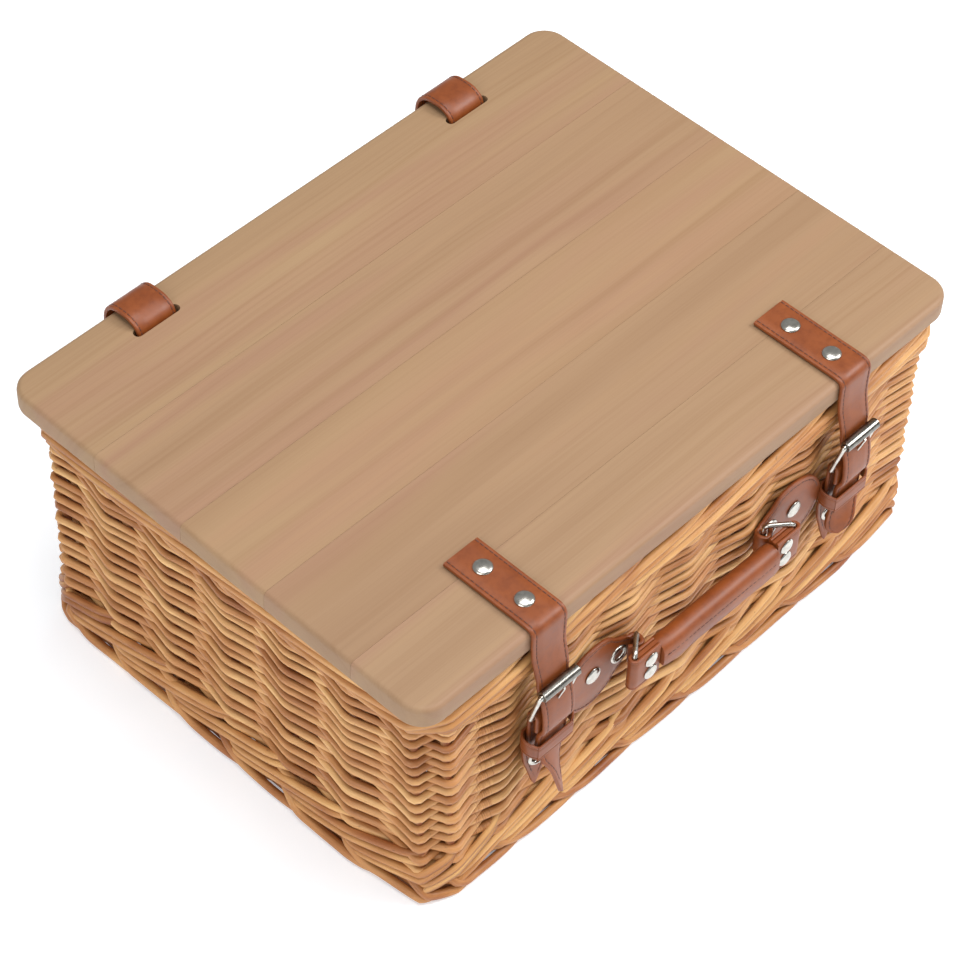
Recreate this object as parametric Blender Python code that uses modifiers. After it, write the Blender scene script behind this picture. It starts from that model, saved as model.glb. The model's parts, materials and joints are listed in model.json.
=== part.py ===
"""Willow picnic hamper with a glued board lid, leather hinges, buckled straps and a rolled handle.

The origin is the centre of the basket's underside.  +X runs along the long side, -Y is the front
with the buckles and the handle, +Z is up.
"""
import math

import bmesh
import bpy
from mathutils import Matrix, Vector

MM = 0.001
GAP = 0.3 * MM                      # clearance kept between pieces that touch

# Basket: half sizes are measured to the outside
HEIGHT = 186 * MM                   # floor to lid top
RIM_HALF = (200 * MM, 152 * MM)
RIM_RADIUS = 7 * MM
RIM_CORNER = 31 * MM
FOOT_HALF = (199.5 * MM, 151.5 * MM)
FOOT_RADIUS = 9.5 * MM
FOOT_CORNER = 29 * MM
WALL_HALF_TOP = (198 * MM, 149 * MM)
WALL_HALF_BOTTOM = (197 * MM, 149 * MM)
WALL_CORNER = 29 * MM
WALL_THICK = 11 * MM
BASE_HALF = (180 * MM, 131.8 * MM)
BASE_CORNER = 12 * MM
BASE_THICK = 12 * MM

# Lid: boards glued edge to edge, set a little back on the basket
LID_LENGTH = 410 * MM
LID_DEPTH = 306 * MM
LID_THICK = 15 * MM
LID_CORNER = 15 * MM
LID_EASE = 3 * MM
LID_SHIFT = 2 * MM
BOARD_JOINTS = (-102 * MM, -41 * MM, 20 * MM, 85 * MM)
SLOT_HALF = (15.5 * MM, 2.8 * MM)

# Leather hinges and closure straps sit at the same distance from the middle
STRAP_X = 118 * MM
STRAP_THICK = 2.6 * MM
STRAP_HALF_WIDTH = 12.2 * MM
HINGE_THICK = 2.5 * MM
HINGE_HALF_WIDTH = 13.5 * MM
STRAP_REACH = 59.5 * MM              # how far the closure strap lies back over the lid
STRAP_BEND = 4 * MM
STUD_INSETS = (15.5 * MM, 44 * MM)  # from the lid's front edge
HINGE_RIVET_Z = 146 * MM

# Rivets (head radius, head height) and eyelets; their holes leave a little room
STUD_HEAD = (5.3 * MM, 1.7 * MM)
HINGE_HEAD = (4.6 * MM, 1.5 * MM)
HANDLE_HEAD = (4.7 * MM, 1.5 * MM)
FOOT_HEIGHT = 0.8 * MM
SHANK_RADIUS = 1.5 * MM
SHANK_HOLE = 1.8 * MM
STUD_LENGTH = 9 * MM
EYELET_OUTER = 6 * MM
EYELET_BORE = 3.5 * MM
EYELET_BARREL = 4.3 * MM
EYELET_HOLE = 4.6 * MM
THROUGH = 40 * MM                   # length of a cutter that goes through the wall and its leather

# Buckle
ROLLER_Y = -162 * MM
ROLLER_Z = 145.5 * MM
ROLLER_RADIUS = 2.4 * MM
ROLLER_BORE = 1.5 * MM
ROLLER_HALF = 12.9 * MM
BAR_Y = -156 * MM
BAR_Z = 122 * MM
FRAME_WIRE = 1.2 * MM
FRAME_HALF_WIDTH = 14.6 * MM
PRONG_WIRE = 0.9 * MM
ANCHOR_THICK = 2.2 * MM
ANCHOR_HALF_WIDTH = 12 * MM
ANCHOR_EYELET_Z = 74 * MM
KEEPER_Z = 101 * MM
KEEPER_THICK = 1.5 * MM
KEEPER_HALF_WIDTH = 16.2 * MM
KEEPER_HALF_HEIGHT = 5.5 * MM
KEEPER_FRONT = -161.8 * MM
PRONG_HOLE = 1.35 * MM
PRONG_WINDOW = 2.2 * MM             # half width of the window in the anchor's fold

# Handle
HANDLE_Z = 107.5 * MM
HANDLE_AXIS_Y = -155 * MM
TAB_THICK = 3 * MM
TAB_END_X = 78.8 * MM
TAB_END_RADIUS = 21.5 * MM
TAB_RIVET_X = 80 * MM
TAB_EYELET_X = 60.3 * MM
TAB_TONGUE = 5 * MM                 # half width of the narrow end
TAB_FOLD = (3 * MM, 3.9 * MM)       # half sizes of the fold round the ring's inner bar
TAB_FOLD_THICK = 1.8 * MM
RING_WIRE = 1.1 * MM
RING_HALF_HEIGHT = 13 * MM
RING_INNER_X = 50.5 * MM
RING_OUTER_X = 63.5 * MM
GRIP_Y = -165.5 * MM
GRIP_RADIUS = 6.5 * MM
GRIP_BORE = 4.6 * MM
GRIP_HALF_LENGTH = 46 * MM
GRIP_RISE = 2 * MM                  # the roll's centre above the handle's centre line
FLANGE_THICK = 4.4 * MM
FLANGE_DROP = 11 * MM
BLOCK_THICK = 2 * MM
BLOCK_HALF_HEIGHT = 11.3 * MM
BLOCK_RIVET_X = 53.8 * MM
BLOCK_RIVET_RISE = 5.1 * MM
BLOCK_RIVET_FOOT = 3.5 * MM
BLOCK_SHANK = 1.3 * MM
BLOCK_SHANK_HOLE = 1.6 * MM
CORE_THICK = 2.2 * MM

# Levels and faces that follow from the sizes above
LID_BOTTOM = HEIGHT - LID_THICK
RIM_Z = LID_BOTTOM - GAP - RIM_RADIUS
WALL_TOP = RIM_Z - RIM_RADIUS - GAP
WALL_BOTTOM = 2 * FOOT_RADIUS + GAP
LID_FRONT = LID_SHIFT - LID_DEPTH / 2
LID_BACK = LID_SHIFT + LID_DEPTH / 2
SLOT_Y = LID_BACK - 21.5 * MM
WALL_FRONT = -WALL_HALF_TOP[1]
SIDES = (("left", -1), ("right", 1))


# ---------------------------------------------------------------- helpers

def clear_scene():
    for obj in list(bpy.data.objects):
        bpy.data.objects.remove(obj, do_unlink=True)


def new_collection(name):
    collection = bpy.data.collections.new(name)
    bpy.context.scene.collection.children.link(collection)
    return collection


def new_material(name, colour, roughness, metallic=0.0):
    mat = bpy.data.materials.new(name)
    mat.use_nodes = True
    shader = mat.node_tree.nodes["Principled BSDF"]
    shader.inputs["Base Color"].default_value = (*colour, 1.0)
    shader.inputs["Roughness"].default_value = roughness
    shader.inputs["Metallic"].default_value = metallic
    mat.diffuse_color = (*colour, 1.0)
    return mat


def add_object(name, data, mat=None, cutter=False):
    """Link an object to the parts, or to the cutters that only shape other pieces."""
    obj = bpy.data.objects.new(name, data)
    if cutter:
        CUTTERS.objects.link(obj)
        obj.hide_render = True
        obj.display_type = "WIRE"
    else:
        PARTS.objects.link(obj)
        data.materials.append(mat)
    return obj


def mesh_from_bmesh(name, bm):
    mesh = bpy.data.meshes.new(name)
    bmesh.ops.recalc_face_normals(bm, faces=bm.faces)
    bm.to_mesh(mesh)
    bm.free()
    return mesh


def curve_to_mesh(curve_object):
    """Return the curve's evaluated mesh in world space, caps welded, and remove the curve."""
    bpy.context.view_layer.update()
    evaluated = curve_object.evaluated_get(bpy.context.evaluated_depsgraph_get())
    mesh = bpy.data.meshes.new_from_object(evaluated)
    bm = bmesh.new()
    bm.from_mesh(mesh)
    bmesh.ops.remove_doubles(bm, verts=bm.verts, dist=0.01 * MM)
    bmesh.ops.transform(bm, matrix=curve_object.matrix_world, verts=bm.verts)
    bmesh.ops.recalc_face_normals(bm, faces=bm.faces)
    bm.to_mesh(mesh)
    bm.free()
    bpy.data.objects.remove(curve_object, do_unlink=True)
    return mesh


def boolean(obj, tool, operation="DIFFERENCE"):
    modifier = obj.modifiers.new(operation.title() + " " + tool.name, "BOOLEAN")
    modifier.operation = operation
    modifier.solver = "EXACT"
    modifier.object = tool


def round_cutter(name, centre, axis, radius, length):
    """A cylinder for a hole, centred on a point and running along an axis."""
    bm = bmesh.new()
    bmesh.ops.create_cone(bm, cap_ends=True, segments=16, radius1=radius, radius2=radius, depth=length)
    turn = Vector((0, 0, 1)).rotation_difference(Vector(axis)).to_matrix().to_4x4()
    bmesh.ops.transform(bm, matrix=Matrix.Translation(centre) @ turn, verts=bm.verts)
    return add_object(name, mesh_from_bmesh(name, bm), cutter=True)


def box_cutter(name, low, high):
    low, high = Vector(low), Vector(high)
    bm = bmesh.new()
    bmesh.ops.create_cube(bm, size=1.0)
    bmesh.ops.scale(bm, vec=high - low, verts=bm.verts)
    bmesh.ops.translate(bm, vec=(low + high) / 2, verts=bm.verts)
    return add_object(name, mesh_from_bmesh(name, bm), cutter=True)


def arc(centre, radius, start, end, steps):
    """Points of an arc in a plane, its angles in degrees."""
    points = []
    for step in range(steps + 1):
        angle = math.radians(start + (end - start) * step / steps)
        points.append((centre[0] + radius * math.cos(angle), centre[1] + radius * math.sin(angle)))
    return points


def rounded_rectangle(half, radius, steps=5):
    points = []
    for quarter, (sx, sy) in enumerate(((1, 1), (-1, 1), (-1, -1), (1, -1))):
        centre = (sx * (half[0] - radius), sy * (half[1] - radius))
        points += arc(centre, radius, 90 * quarter, 90 * quarter + 90, steps)
    return points


def strip(name, path, across, half_width, thickness, mat=None, cyclic=False, cutter=False):
    """A leather strip: a path of 3D points spread sideways, then given its thickness."""
    across = Vector(across)
    widths = half_width if isinstance(half_width, (list, tuple)) else [half_width] * len(path)
    bm = bmesh.new()
    rows = []
    for point, width in zip(path, widths):
        rows.append([bm.verts.new(Vector(point) + across * side * width) for side in (-1, 1)])
    pairs = list(zip(rows, rows[1:]))
    if cyclic:
        pairs.append((rows[-1], rows[0]))
    for (a, b), (c, d) in pairs:
        bm.faces.new((a, b, d, c))
    obj = add_object(name, mesh_from_bmesh(name, bm), mat, cutter)
    solid = obj.modifiers.new("Leather thickness", "SOLIDIFY")
    solid.thickness = thickness
    solid.offset = 0
    solid.use_even_offset = True
    return obj


def turned(name, profile, centre, axis, mat, closed=False, steps=16):
    """A turned piece: (radius, height) points swept round its own axis."""
    bm = bmesh.new()
    verts = [bm.verts.new((radius, 0, height)) for radius, height in profile]
    for a, b in zip(verts, verts[1:]):
        bm.edges.new((a, b))
    if closed:
        bm.edges.new((verts[-1], verts[0]))
    mesh = bpy.data.meshes.new(name)
    bm.to_mesh(mesh)
    bm.free()
    obj = add_object(name, mesh, mat)
    obj.location = centre
    obj.rotation_euler = Vector((0, 0, 1)).rotation_difference(Vector(axis)).to_euler()
    screw = obj.modifiers.new("Turn", "SCREW")
    screw.steps = steps
    screw.render_steps = steps
    screw.use_merge_vertices = True
    screw.merge_threshold = 0.01 * MM
    screw.use_smooth_shade = True
    return obj


def wire(name, points, radius, mat, cyclic=False):
    curve = bpy.data.curves.new(name, "CURVE")
    curve.dimensions = "3D"
    curve.bevel_depth = radius
    curve.bevel_resolution = 2
    curve.use_fill_caps = True
    spline = curve.splines.new("POLY")
    spline.points.add(len(points) - 1)
    for spot, point in zip(spline.points, points):
        spot.co = (*point, 1)
    spline.use_cyclic_u = cyclic
    return add_object(name, curve, mat)


def plate(name, outlines, thickness):
    """A flat outline, with any holes, given its thickness as a 2D curve."""
    curve = bpy.data.curves.new(name, "CURVE")
    curve.dimensions = "2D"
    curve.fill_mode = "BOTH"
    curve.extrude = thickness / 2
    for outline in outlines:
        spline = curve.splines.new("POLY")
        spline.points.add(len(outline) - 1)
        for spot, (x, y) in zip(spline.points, outline):
            spot.co = (x, y, 0, 1)
        spline.use_cyclic_u = True
    obj = bpy.data.objects.new(name, curve)
    PARTS.objects.link(obj)
    return obj


def hang_on(axis_name, location, pieces, parent=None):
    """Parent a moving body's pieces to an empty on the body's joint axis."""
    empty = bpy.data.objects.new(axis_name, None)
    PARTS.objects.link(empty)
    empty.empty_display_size = 10 * MM
    origin = Vector(location)
    if parent is None:
        empty.location = origin
    else:
        empty.parent = parent[0]
        empty.location = origin - Vector(parent[1])
    for piece in pieces:
        piece.parent = empty
        piece.matrix_parent_inverse = Matrix.Translation(-origin)
    return empty, location


# ---------------------------------------------------------------- basket

def border_ring(name, half, radius, corner, height, mat):
    path = rounded_rectangle((half[0] - radius, half[1] - radius), corner - radius)
    return wire(name, [(x, y, height) for x, y in path], radius, mat, cyclic=True)


def wicker_siding():
    """The woven side: an upright band round the basket, lofted from foot to rim."""
    bm = bmesh.new()
    loops = []
    for half, height in ((WALL_HALF_BOTTOM, WALL_BOTTOM), (WALL_HALF_TOP, WALL_TOP)):
        loops.append([bm.verts.new((x, y, height)) for x, y in rounded_rectangle(half, WALL_CORNER)])
    lower, upper = loops
    for i in range(len(lower)):
        j = (i + 1) % len(lower)
        bm.faces.new((lower[i], lower[j], upper[j], upper[i]))
    mesh = bpy.data.meshes.new("wicker_siding")
    bm.to_mesh(mesh)
    bm.free()
    obj = add_object("wicker_siding", mesh, WILLOW)
    solid = obj.modifiers.new("Wall thickness", "SOLIDIFY")
    solid.thickness = WALL_THICK
    solid.offset = -1
    solid.use_even_offset = True
    return obj


def base_mat():
    flat = plate("base_mat", [rounded_rectangle(BASE_HALF, BASE_CORNER)], BASE_THICK)
    flat.location.z = BASE_THICK / 2
    return add_object("base_mat", curve_to_mesh(flat), WILLOW)


def build_basket():
    base_mat()
    border_ring("foot_border", FOOT_HALF, FOOT_RADIUS, FOOT_CORNER, FOOT_RADIUS, WILLOW)
    border_ring("top_border", RIM_HALF, RIM_RADIUS, RIM_CORNER, RIM_Z, WILLOW)
    return wicker_siding()


# ---------------------------------------------------------------- lid

def lid_blank():
    """The whole lid before it is divided into its boards: its outline, with eased edges."""
    flat = plate("lid_blank", [rounded_rectangle((LID_LENGTH / 2, LID_DEPTH / 2), LID_CORNER)], LID_THICK)
    flat.location = (0, LID_SHIFT, LID_BOTTOM + LID_THICK / 2)
    mesh = curve_to_mesh(flat)
    bm = bmesh.new()
    bm.from_mesh(mesh)
    bmesh.ops.dissolve_limit(bm, angle_limit=0.01, verts=bm.verts, edges=bm.edges)
    rims = [edge for edge in bm.edges if abs(edge.verts[0].co.z - edge.verts[1].co.z) < GAP]
    bmesh.ops.bevel(bm, geom=rims, offset=LID_EASE, segments=2, profile=0.5, affect="EDGES")
    bm.to_mesh(mesh)
    bm.free()
    return mesh


def slot_cutter(side, sign):
    flat = plate(f"hinge_slot_{side}", [rounded_rectangle(SLOT_HALF, 2.6 * MM, steps=3)], 2 * LID_THICK)
    flat.location = (sign * STRAP_X, SLOT_Y, LID_BOTTOM)
    return add_object(f"hinge_slot_{side}", curve_to_mesh(flat), cutter=True)


def lid_boards():
    blank = lid_blank()
    edges = (LID_FRONT - 5 * MM, *BOARD_JOINTS, LID_BACK + 5 * MM)
    boards = []
    for number, (front, back) in enumerate(zip(edges, edges[1:]), start=1):
        name = f"lid_board_{number}"
        board = add_object(name, blank.copy(), WOOD)
        reach = LID_LENGTH
        slab = box_cutter(name + "_slab", (-reach, front + GAP / 2, 0), (reach, back - GAP / 2, 1))
        boolean(board, slab, "INTERSECT")
        boards.append(board)
    for side, sign in SIDES:
        boolean(boards[-1], slot_cutter(side, sign))
    bpy.data.meshes.remove(blank)
    return boards


def spool(head_radius, head_height, shank_radius, length, foot_radius=0.0, foot_height=0.0):
    """Profile of a rivet: domed head above height 0, shank below it, and a foot if it has one."""
    dome = [(head_radius * math.sin(t), head_height * math.cos(t))
            for t in (math.radians(a) for a in (0, 30, 60, 80))]
    profile = dome + [(head_radius, 0), (shank_radius, 0), (shank_radius, -length)]
    if foot_radius:
        profile += [(foot_radius, -length), (foot_radius, -length - foot_height),
                    (0, -length - foot_height)]
    else:
        profile.append((0, -length))
    return profile


def grommet(outer, bore, barrel, length, lip=0.8 * MM):
    """Profile of an eyelet: a lip above height 0 and a barrel below it."""
    middle = (outer + bore) / 2
    return [(middle, lip), (outer, 0), (barrel, 0), (barrel, -length), (bore, -length), (bore, lip / 2)]


def lid_strap_path():
    """Over the lid's top, round its front edge and down to its lower edge."""
    top = HEIGHT + GAP + STRAP_THICK / 2
    front = LID_FRONT - GAP - STRAP_THICK / 2
    curve = arc((front + STRAP_BEND, top - STRAP_BEND), STRAP_BEND, 90, 180, 5)
    path = [(LID_FRONT + STRAP_REACH, top)] + curve + [(front, LID_BOTTOM + 2.2 * MM)]
    return path, top, front


def build_lid():
    boards = lid_boards()
    pieces = list(boards)
    path, top, _ = lid_strap_path()
    for side, sign in SIDES:
        x = sign * STRAP_X
        strap = strip(f"lid_strap_{side}", [(x, y, z) for y, z in path], (1, 0, 0),
                      STRAP_HALF_WIDTH, STRAP_THICK, LEATHER)
        pieces.append(strap)
        for place, inset in zip(("front", "rear"), STUD_INSETS):
            y = LID_FRONT + inset
            seat = top + STRAP_THICK / 2 + GAP
            name = f"lid_stud_{side}_{place}"
            hole = round_cutter(name + "_hole", (x, y, HEIGHT), (0, 0, 1), SHANK_HOLE, 2 * STUD_LENGTH)
            boolean(strap, hole)
            board = boards[0] if y < BOARD_JOINTS[0] else boards[1]
            boolean(board, hole)
            profile = spool(*STUD_HEAD, SHANK_RADIUS, STUD_LENGTH)
            pieces.append(turned(name, profile, (x, y, seat), (0, 0, 1), NICKEL))
    return hang_on("lid_hinge_axis", (0, LID_BACK, LID_BOTTOM), pieces)


# ---------------------------------------------------------------- hinges

def hinge_strap_path():
    """One leather strap: up the back wall, round the lid's back edge, down through its slot."""
    half = HINGE_THICK / 2
    back = LID_BACK + GAP + half
    outside = [(WALL_HALF_TOP[1] + GAP + half, 140 * MM), (WALL_HALF_TOP[1] + GAP + half, 152 * MM),
               (RIM_HALF[1] + 2 * GAP + half, 160 * MM), (back, 168 * MM)]
    over = arc((back - STRAP_BEND, HEIGHT + GAP + half - STRAP_BEND), STRAP_BEND, 0, 55, 3)
    arch = [(LID_BACK - 6 * MM, HEIGHT + 4 * MM), (LID_BACK - 13 * MM, HEIGHT + 4.4 * MM),
            (SLOT_Y + 2.4 * MM, HEIGHT + 2.6 * MM), (SLOT_Y, HEIGHT - 1.5 * MM)]
    inner = WALL_HALF_TOP[1] - WALL_THICK - 2 * GAP - half
    inside = [(SLOT_Y, LID_BOTTOM - 1 * MM), (inner - 1.5 * MM, 160 * MM), (inner, 152 * MM),
              (inner, 140 * MM)]
    return outside + over + arch + inside


def build_hinges(siding):
    path = hinge_strap_path()
    outer_face = path[0][0] + HINGE_THICK / 2
    inner_face = path[-1][0] - HINGE_THICK / 2
    for side, sign in SIDES:
        x = sign * STRAP_X
        strap = strip(f"hinge_strap_{side}", [(x, y, z) for y, z in path], (1, 0, 0),
                      HINGE_HALF_WIDTH, HINGE_THICK, LEATHER)
        name = f"hinge_rivet_{side}"
        middle = (x, (outer_face + inner_face) / 2, HINGE_RIVET_Z)
        hole = round_cutter(name + "_hole", middle, (0, 1, 0), SHANK_HOLE, THROUGH)
        boolean(strap, hole)
        boolean(siding, hole)
        length = outer_face - inner_face + 2 * GAP
        profile = spool(*HINGE_HEAD, SHANK_RADIUS, length, HINGE_HEAD[0], FOOT_HEIGHT)
        turned(name, profile, (x, outer_face + GAP, HINGE_RIVET_Z), (0, 1, 0), NICKEL)


# ---------------------------------------------------------------- closures

def strap_tail_path():
    """From the lid's front edge behind the roller, out over the anchor and through the keeper."""
    _, _, front = lid_strap_path()
    return [(front, LID_BOTTOM + 0.2 * MM), (front - 1.7 * MM, 163.5 * MM), (-157.6 * MM, 151 * MM),
            (-158 * MM, 145 * MM), (-159.3 * MM, 139.5 * MM), (-161.4 * MM, 132 * MM),
            (-162.6 * MM, 124 * MM), (-162.6 * MM, 114.5 * MM), (-158.9 * MM, 108 * MM),
            (-158.4 * MM, 101 * MM), (-158.8 * MM, 94 * MM), (-161 * MM, 84 * MM),
            (-164.6 * MM, 71 * MM), (-168 * MM, 58 * MM)]


def strap_tail_widths():
    full = [STRAP_HALF_WIDTH] * 11
    return full + [10.5 * MM, 7.5 * MM, 1.2 * MM]


def anchor_path():
    """Short front layer, round the buckle's lower bar, then down the wall to a pointed end."""
    turn = FRAME_WIRE + GAP + ANCHOR_THICK / 2
    fold = arc((BAR_Y, BAR_Z), turn, 180, 0, 8)
    front = [(BAR_Y - turn, 113 * MM)]
    wall = WALL_FRONT - GAP - ANCHOR_THICK / 2
    back = [(BAR_Y + turn, 96 * MM), (wall, 88 * MM), (wall, 62 * MM), (wall, 51 * MM)]
    return front + fold + back


def keeper_path():
    """A leather loop round the anchor and the tail, seen from above."""
    rear = WALL_FRONT - 0.8 * MM - KEEPER_THICK / 2
    middle = (rear + KEEPER_FRONT) / 2
    outline = rounded_rectangle((KEEPER_HALF_WIDTH, (rear - KEEPER_FRONT) / 2), 4 * MM, steps=4)
    return [(x, y + middle) for x, y in outline]


def prong_path():
    """An open eye round the lower bar and a straight tongue that rests on the roller's front."""
    eye = FRAME_WIRE + GAP + PRONG_WIRE
    points = arc((BAR_Y, BAR_Z), eye, -130, 150, 9)
    start = points[-1]
    tip = (ROLLER_Y - ROLLER_RADIUS - PRONG_WIRE - GAP, ROLLER_Z - 0.5 * MM)
    return points + [((start[0] + tip[0]) / 2, (start[1] + tip[1]) / 2), tip]


def build_buckle(side, x):
    legs = ((-1, ROLLER_Y, ROLLER_Z), (1, ROLLER_Y, ROLLER_Z), (1, BAR_Y, BAR_Z), (-1, BAR_Y, BAR_Z))
    corners = [(x + s * FRAME_HALF_WIDTH, y, z) for s, y, z in legs]
    frame = wire(f"buckle_frame_{side}", corners, FRAME_WIRE, NICKEL, cyclic=True)
    outline = [(ROLLER_RADIUS, ROLLER_HALF), (ROLLER_RADIUS, -ROLLER_HALF),
               (ROLLER_BORE, -ROLLER_HALF), (ROLLER_BORE, ROLLER_HALF)]
    roller = turned(f"buckle_roller_{side}", outline, (x, ROLLER_Y, ROLLER_Z), (1, 0, 0), NICKEL,
                    closed=True)
    prong = wire(f"buckle_prong_{side}", [(x, y, z) for y, z in prong_path()], PRONG_WIRE, NICKEL)
    return frame, roller, prong


def prong_hole(side, x):
    """The slanted hole that the prong takes through the tail."""
    start, middle, tip = [Vector((x, y, z)) for y, z in prong_path()[-3:]]
    return round_cutter(f"prong_hole_{side}", middle, tip - start, PRONG_HOLE, 17 * MM)


def build_anchor(side, x, siding):
    path = anchor_path()
    widths = [ANCHOR_HALF_WIDTH] * (len(path) - 2) + [9 * MM, 1.2 * MM]
    anchor = strip(f"anchor_strap_{side}", [(x, y, z) for y, z in path], (1, 0, 0),
                   widths, ANCHOR_THICK, LEATHER)
    window = box_cutter(f"prong_window_{side}", (x - PRONG_WINDOW, BAR_Y - 9 * MM, BAR_Z - 5 * MM),
                        (x + PRONG_WINDOW, BAR_Y + 9 * MM, BAR_Z + 9 * MM))
    boolean(anchor, window)
    seat = WALL_FRONT - 2 * GAP - ANCHOR_THICK
    hole = round_cutter(f"anchor_eyelet_{side}_hole", (x, WALL_FRONT, ANCHOR_EYELET_Z), (0, 1, 0),
                        EYELET_HOLE, THROUGH)
    boolean(anchor, hole)
    boolean(siding, hole)
    length = WALL_THICK + 2 * GAP + ANCHOR_THICK
    turned(f"anchor_eyelet_{side}", grommet(EYELET_OUTER, EYELET_BORE, EYELET_BARREL, length),
           (x, seat, ANCHOR_EYELET_Z), (0, -1, 0), NICKEL, closed=True)


def build_closures(siding, lid):
    for side, sign in SIDES:
        x = sign * STRAP_X
        build_anchor(side, x, siding)
        strip(f"keeper_loop_{side}", [(x + dx, y, KEEPER_Z) for dx, y in keeper_path()], (0, 0, 1),
              KEEPER_HALF_HEIGHT, KEEPER_THICK, LEATHER, cyclic=True)
        frame, roller, prong = build_buckle(side, x)
        buckle = hang_on(f"buckle_{side}_axis", (x, BAR_Y, BAR_Z), [frame])
        hang_on(f"prong_{side}_axis", (x, BAR_Y, BAR_Z), [prong], buckle)
        hang_on(f"roller_{side}_axis", (x, ROLLER_Y, ROLLER_Z), [roller], buckle)
        path = strap_tail_path()
        tail = strip(f"strap_tail_{side}", [(x, y, z) for y, z in path], (1, 0, 0),
                     strap_tail_widths(), STRAP_THICK, LEATHER)
        boolean(tail, prong_hole(side, x))
        hang_on(f"strap_{side}_axis", (x, path[0][0], LID_BOTTOM - 1.3 * MM), [tail], lid)


# ---------------------------------------------------------------- handle

def handle_tab(side, sign, siding):
    """A drop-shaped leather plate on the wall whose narrow end is folded round the ring."""
    inner = RING_INNER_X + 1.2 * MM
    lobe = arc((TAB_END_X, 0), TAB_END_RADIUS, -105, 105, 12)
    neck = [(inner + 7 * MM, -13 * MM), (inner + 2 * MM, -TAB_TONGUE), (inner, -TAB_TONGUE)]
    outline = lobe + [(u, -v) for u, v in neck] + neck[::-1]
    flat = plate(f"handle_tab_{side}", [[(sign * u, v) for u, v in outline]], TAB_THICK)
    flat.rotation_euler.x = math.pi / 2
    flat.location = (0, WALL_FRONT - GAP - TAB_THICK / 2, HANDLE_Z)
    tab = add_object(f"handle_tab_{side}", curve_to_mesh(flat), LEATHER)
    oval = []
    for i in range(16):
        t = math.tau * i / 16
        oval.append((sign * RING_INNER_X + TAB_FOLD[0] * math.cos(t),
                     HANDLE_AXIS_Y + TAB_FOLD[1] * math.sin(t), HANDLE_Z))
    fold = strip(f"tab_fold_{side}", oval, (0, 0, 1), TAB_TONGUE, TAB_FOLD_THICK, cyclic=True, cutter=True)
    boolean(tab, fold, "UNION")
    front = WALL_FRONT - GAP - TAB_THICK
    rivet_x, eyelet_x = sign * TAB_RIVET_X, sign * TAB_EYELET_X
    rivet_hole = round_cutter(f"tab_rivet_{side}_hole", (rivet_x, WALL_FRONT, HANDLE_Z), (0, 1, 0),
                              SHANK_HOLE, THROUGH)
    boolean(tab, rivet_hole)
    boolean(siding, rivet_hole)
    length = TAB_THICK + WALL_THICK + 3 * GAP
    profile = spool(*STUD_HEAD, SHANK_RADIUS, length, STUD_HEAD[0] - GAP, FOOT_HEIGHT)
    turned(f"tab_rivet_{side}", profile, (rivet_x, front - GAP, HANDLE_Z), (0, -1, 0), NICKEL)
    eyelet_hole = round_cutter(f"tab_eyelet_{side}_hole", (eyelet_x, front, HANDLE_Z), (0, 1, 0),
                               EYELET_HOLE, 3 * TAB_THICK)
    boolean(tab, eyelet_hole)
    turned(f"tab_eyelet_{side}", grommet(EYELET_OUTER, EYELET_BORE, EYELET_BARREL, TAB_THICK),
           (eyelet_x, front - GAP, HANDLE_Z), (0, -1, 0), NICKEL, closed=True)


def handle_ring(side, sign):
    spots = ((RING_INNER_X, HANDLE_AXIS_Y, -1), (RING_INNER_X, HANDLE_AXIS_Y, 1),
             (RING_OUTER_X, GRIP_Y, 1), (RING_OUTER_X, GRIP_Y, -1))
    points = [(sign * x, y, HANDLE_Z + s * RING_HALF_HEIGHT) for x, y, s in spots]
    return wire(f"handle_ring_{side}", points, RING_WIRE, NICKEL, cyclic=True)


def end_block(side, sign):
    """Leather folded round the ring's outer bar, its two layers riveted to the core."""
    turn = RING_WIRE + GAP + BLOCK_THICK / 2
    inner = GRIP_HALF_LENGTH + 2 * GAP
    fold = arc((RING_OUTER_X, GRIP_Y), turn, -90, 90, 6)
    path = [(inner, GRIP_Y - turn)] + fold + [(inner, GRIP_Y + turn)]
    return strip(f"handle_end_{side}", [(sign * x, y, HANDLE_Z) for x, y in path], (0, 0, 1),
                 BLOCK_HALF_HEIGHT, BLOCK_THICK, LEATHER)


def handle_core():
    """The strap inside the handle: narrow in the roll, wide where the ends are riveted."""
    wide_start = GRIP_HALF_LENGTH + 2 * GAP
    wide_end = RING_OUTER_X - RING_WIRE - 2 * GAP
    wide = BLOCK_HALF_HEIGHT - GAP
    narrow = (GRIP_RISE - 4 * MM, GRIP_RISE + 4 * MM)
    right = [(wide_start, narrow[0]), (wide_start, -wide), (wide_end, -wide),
             (wide_end, wide), (wide_start, wide), (wide_start, narrow[1])]
    left = [(-x, z) for x, z in reversed(right)]
    flat = plate("handle_core", [right + left], CORE_THICK)
    flat.rotation_euler.x = math.pi / 2
    flat.location = (0, GRIP_Y, HANDLE_Z)
    return add_object("handle_core", curve_to_mesh(flat), LEATHER)


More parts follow.
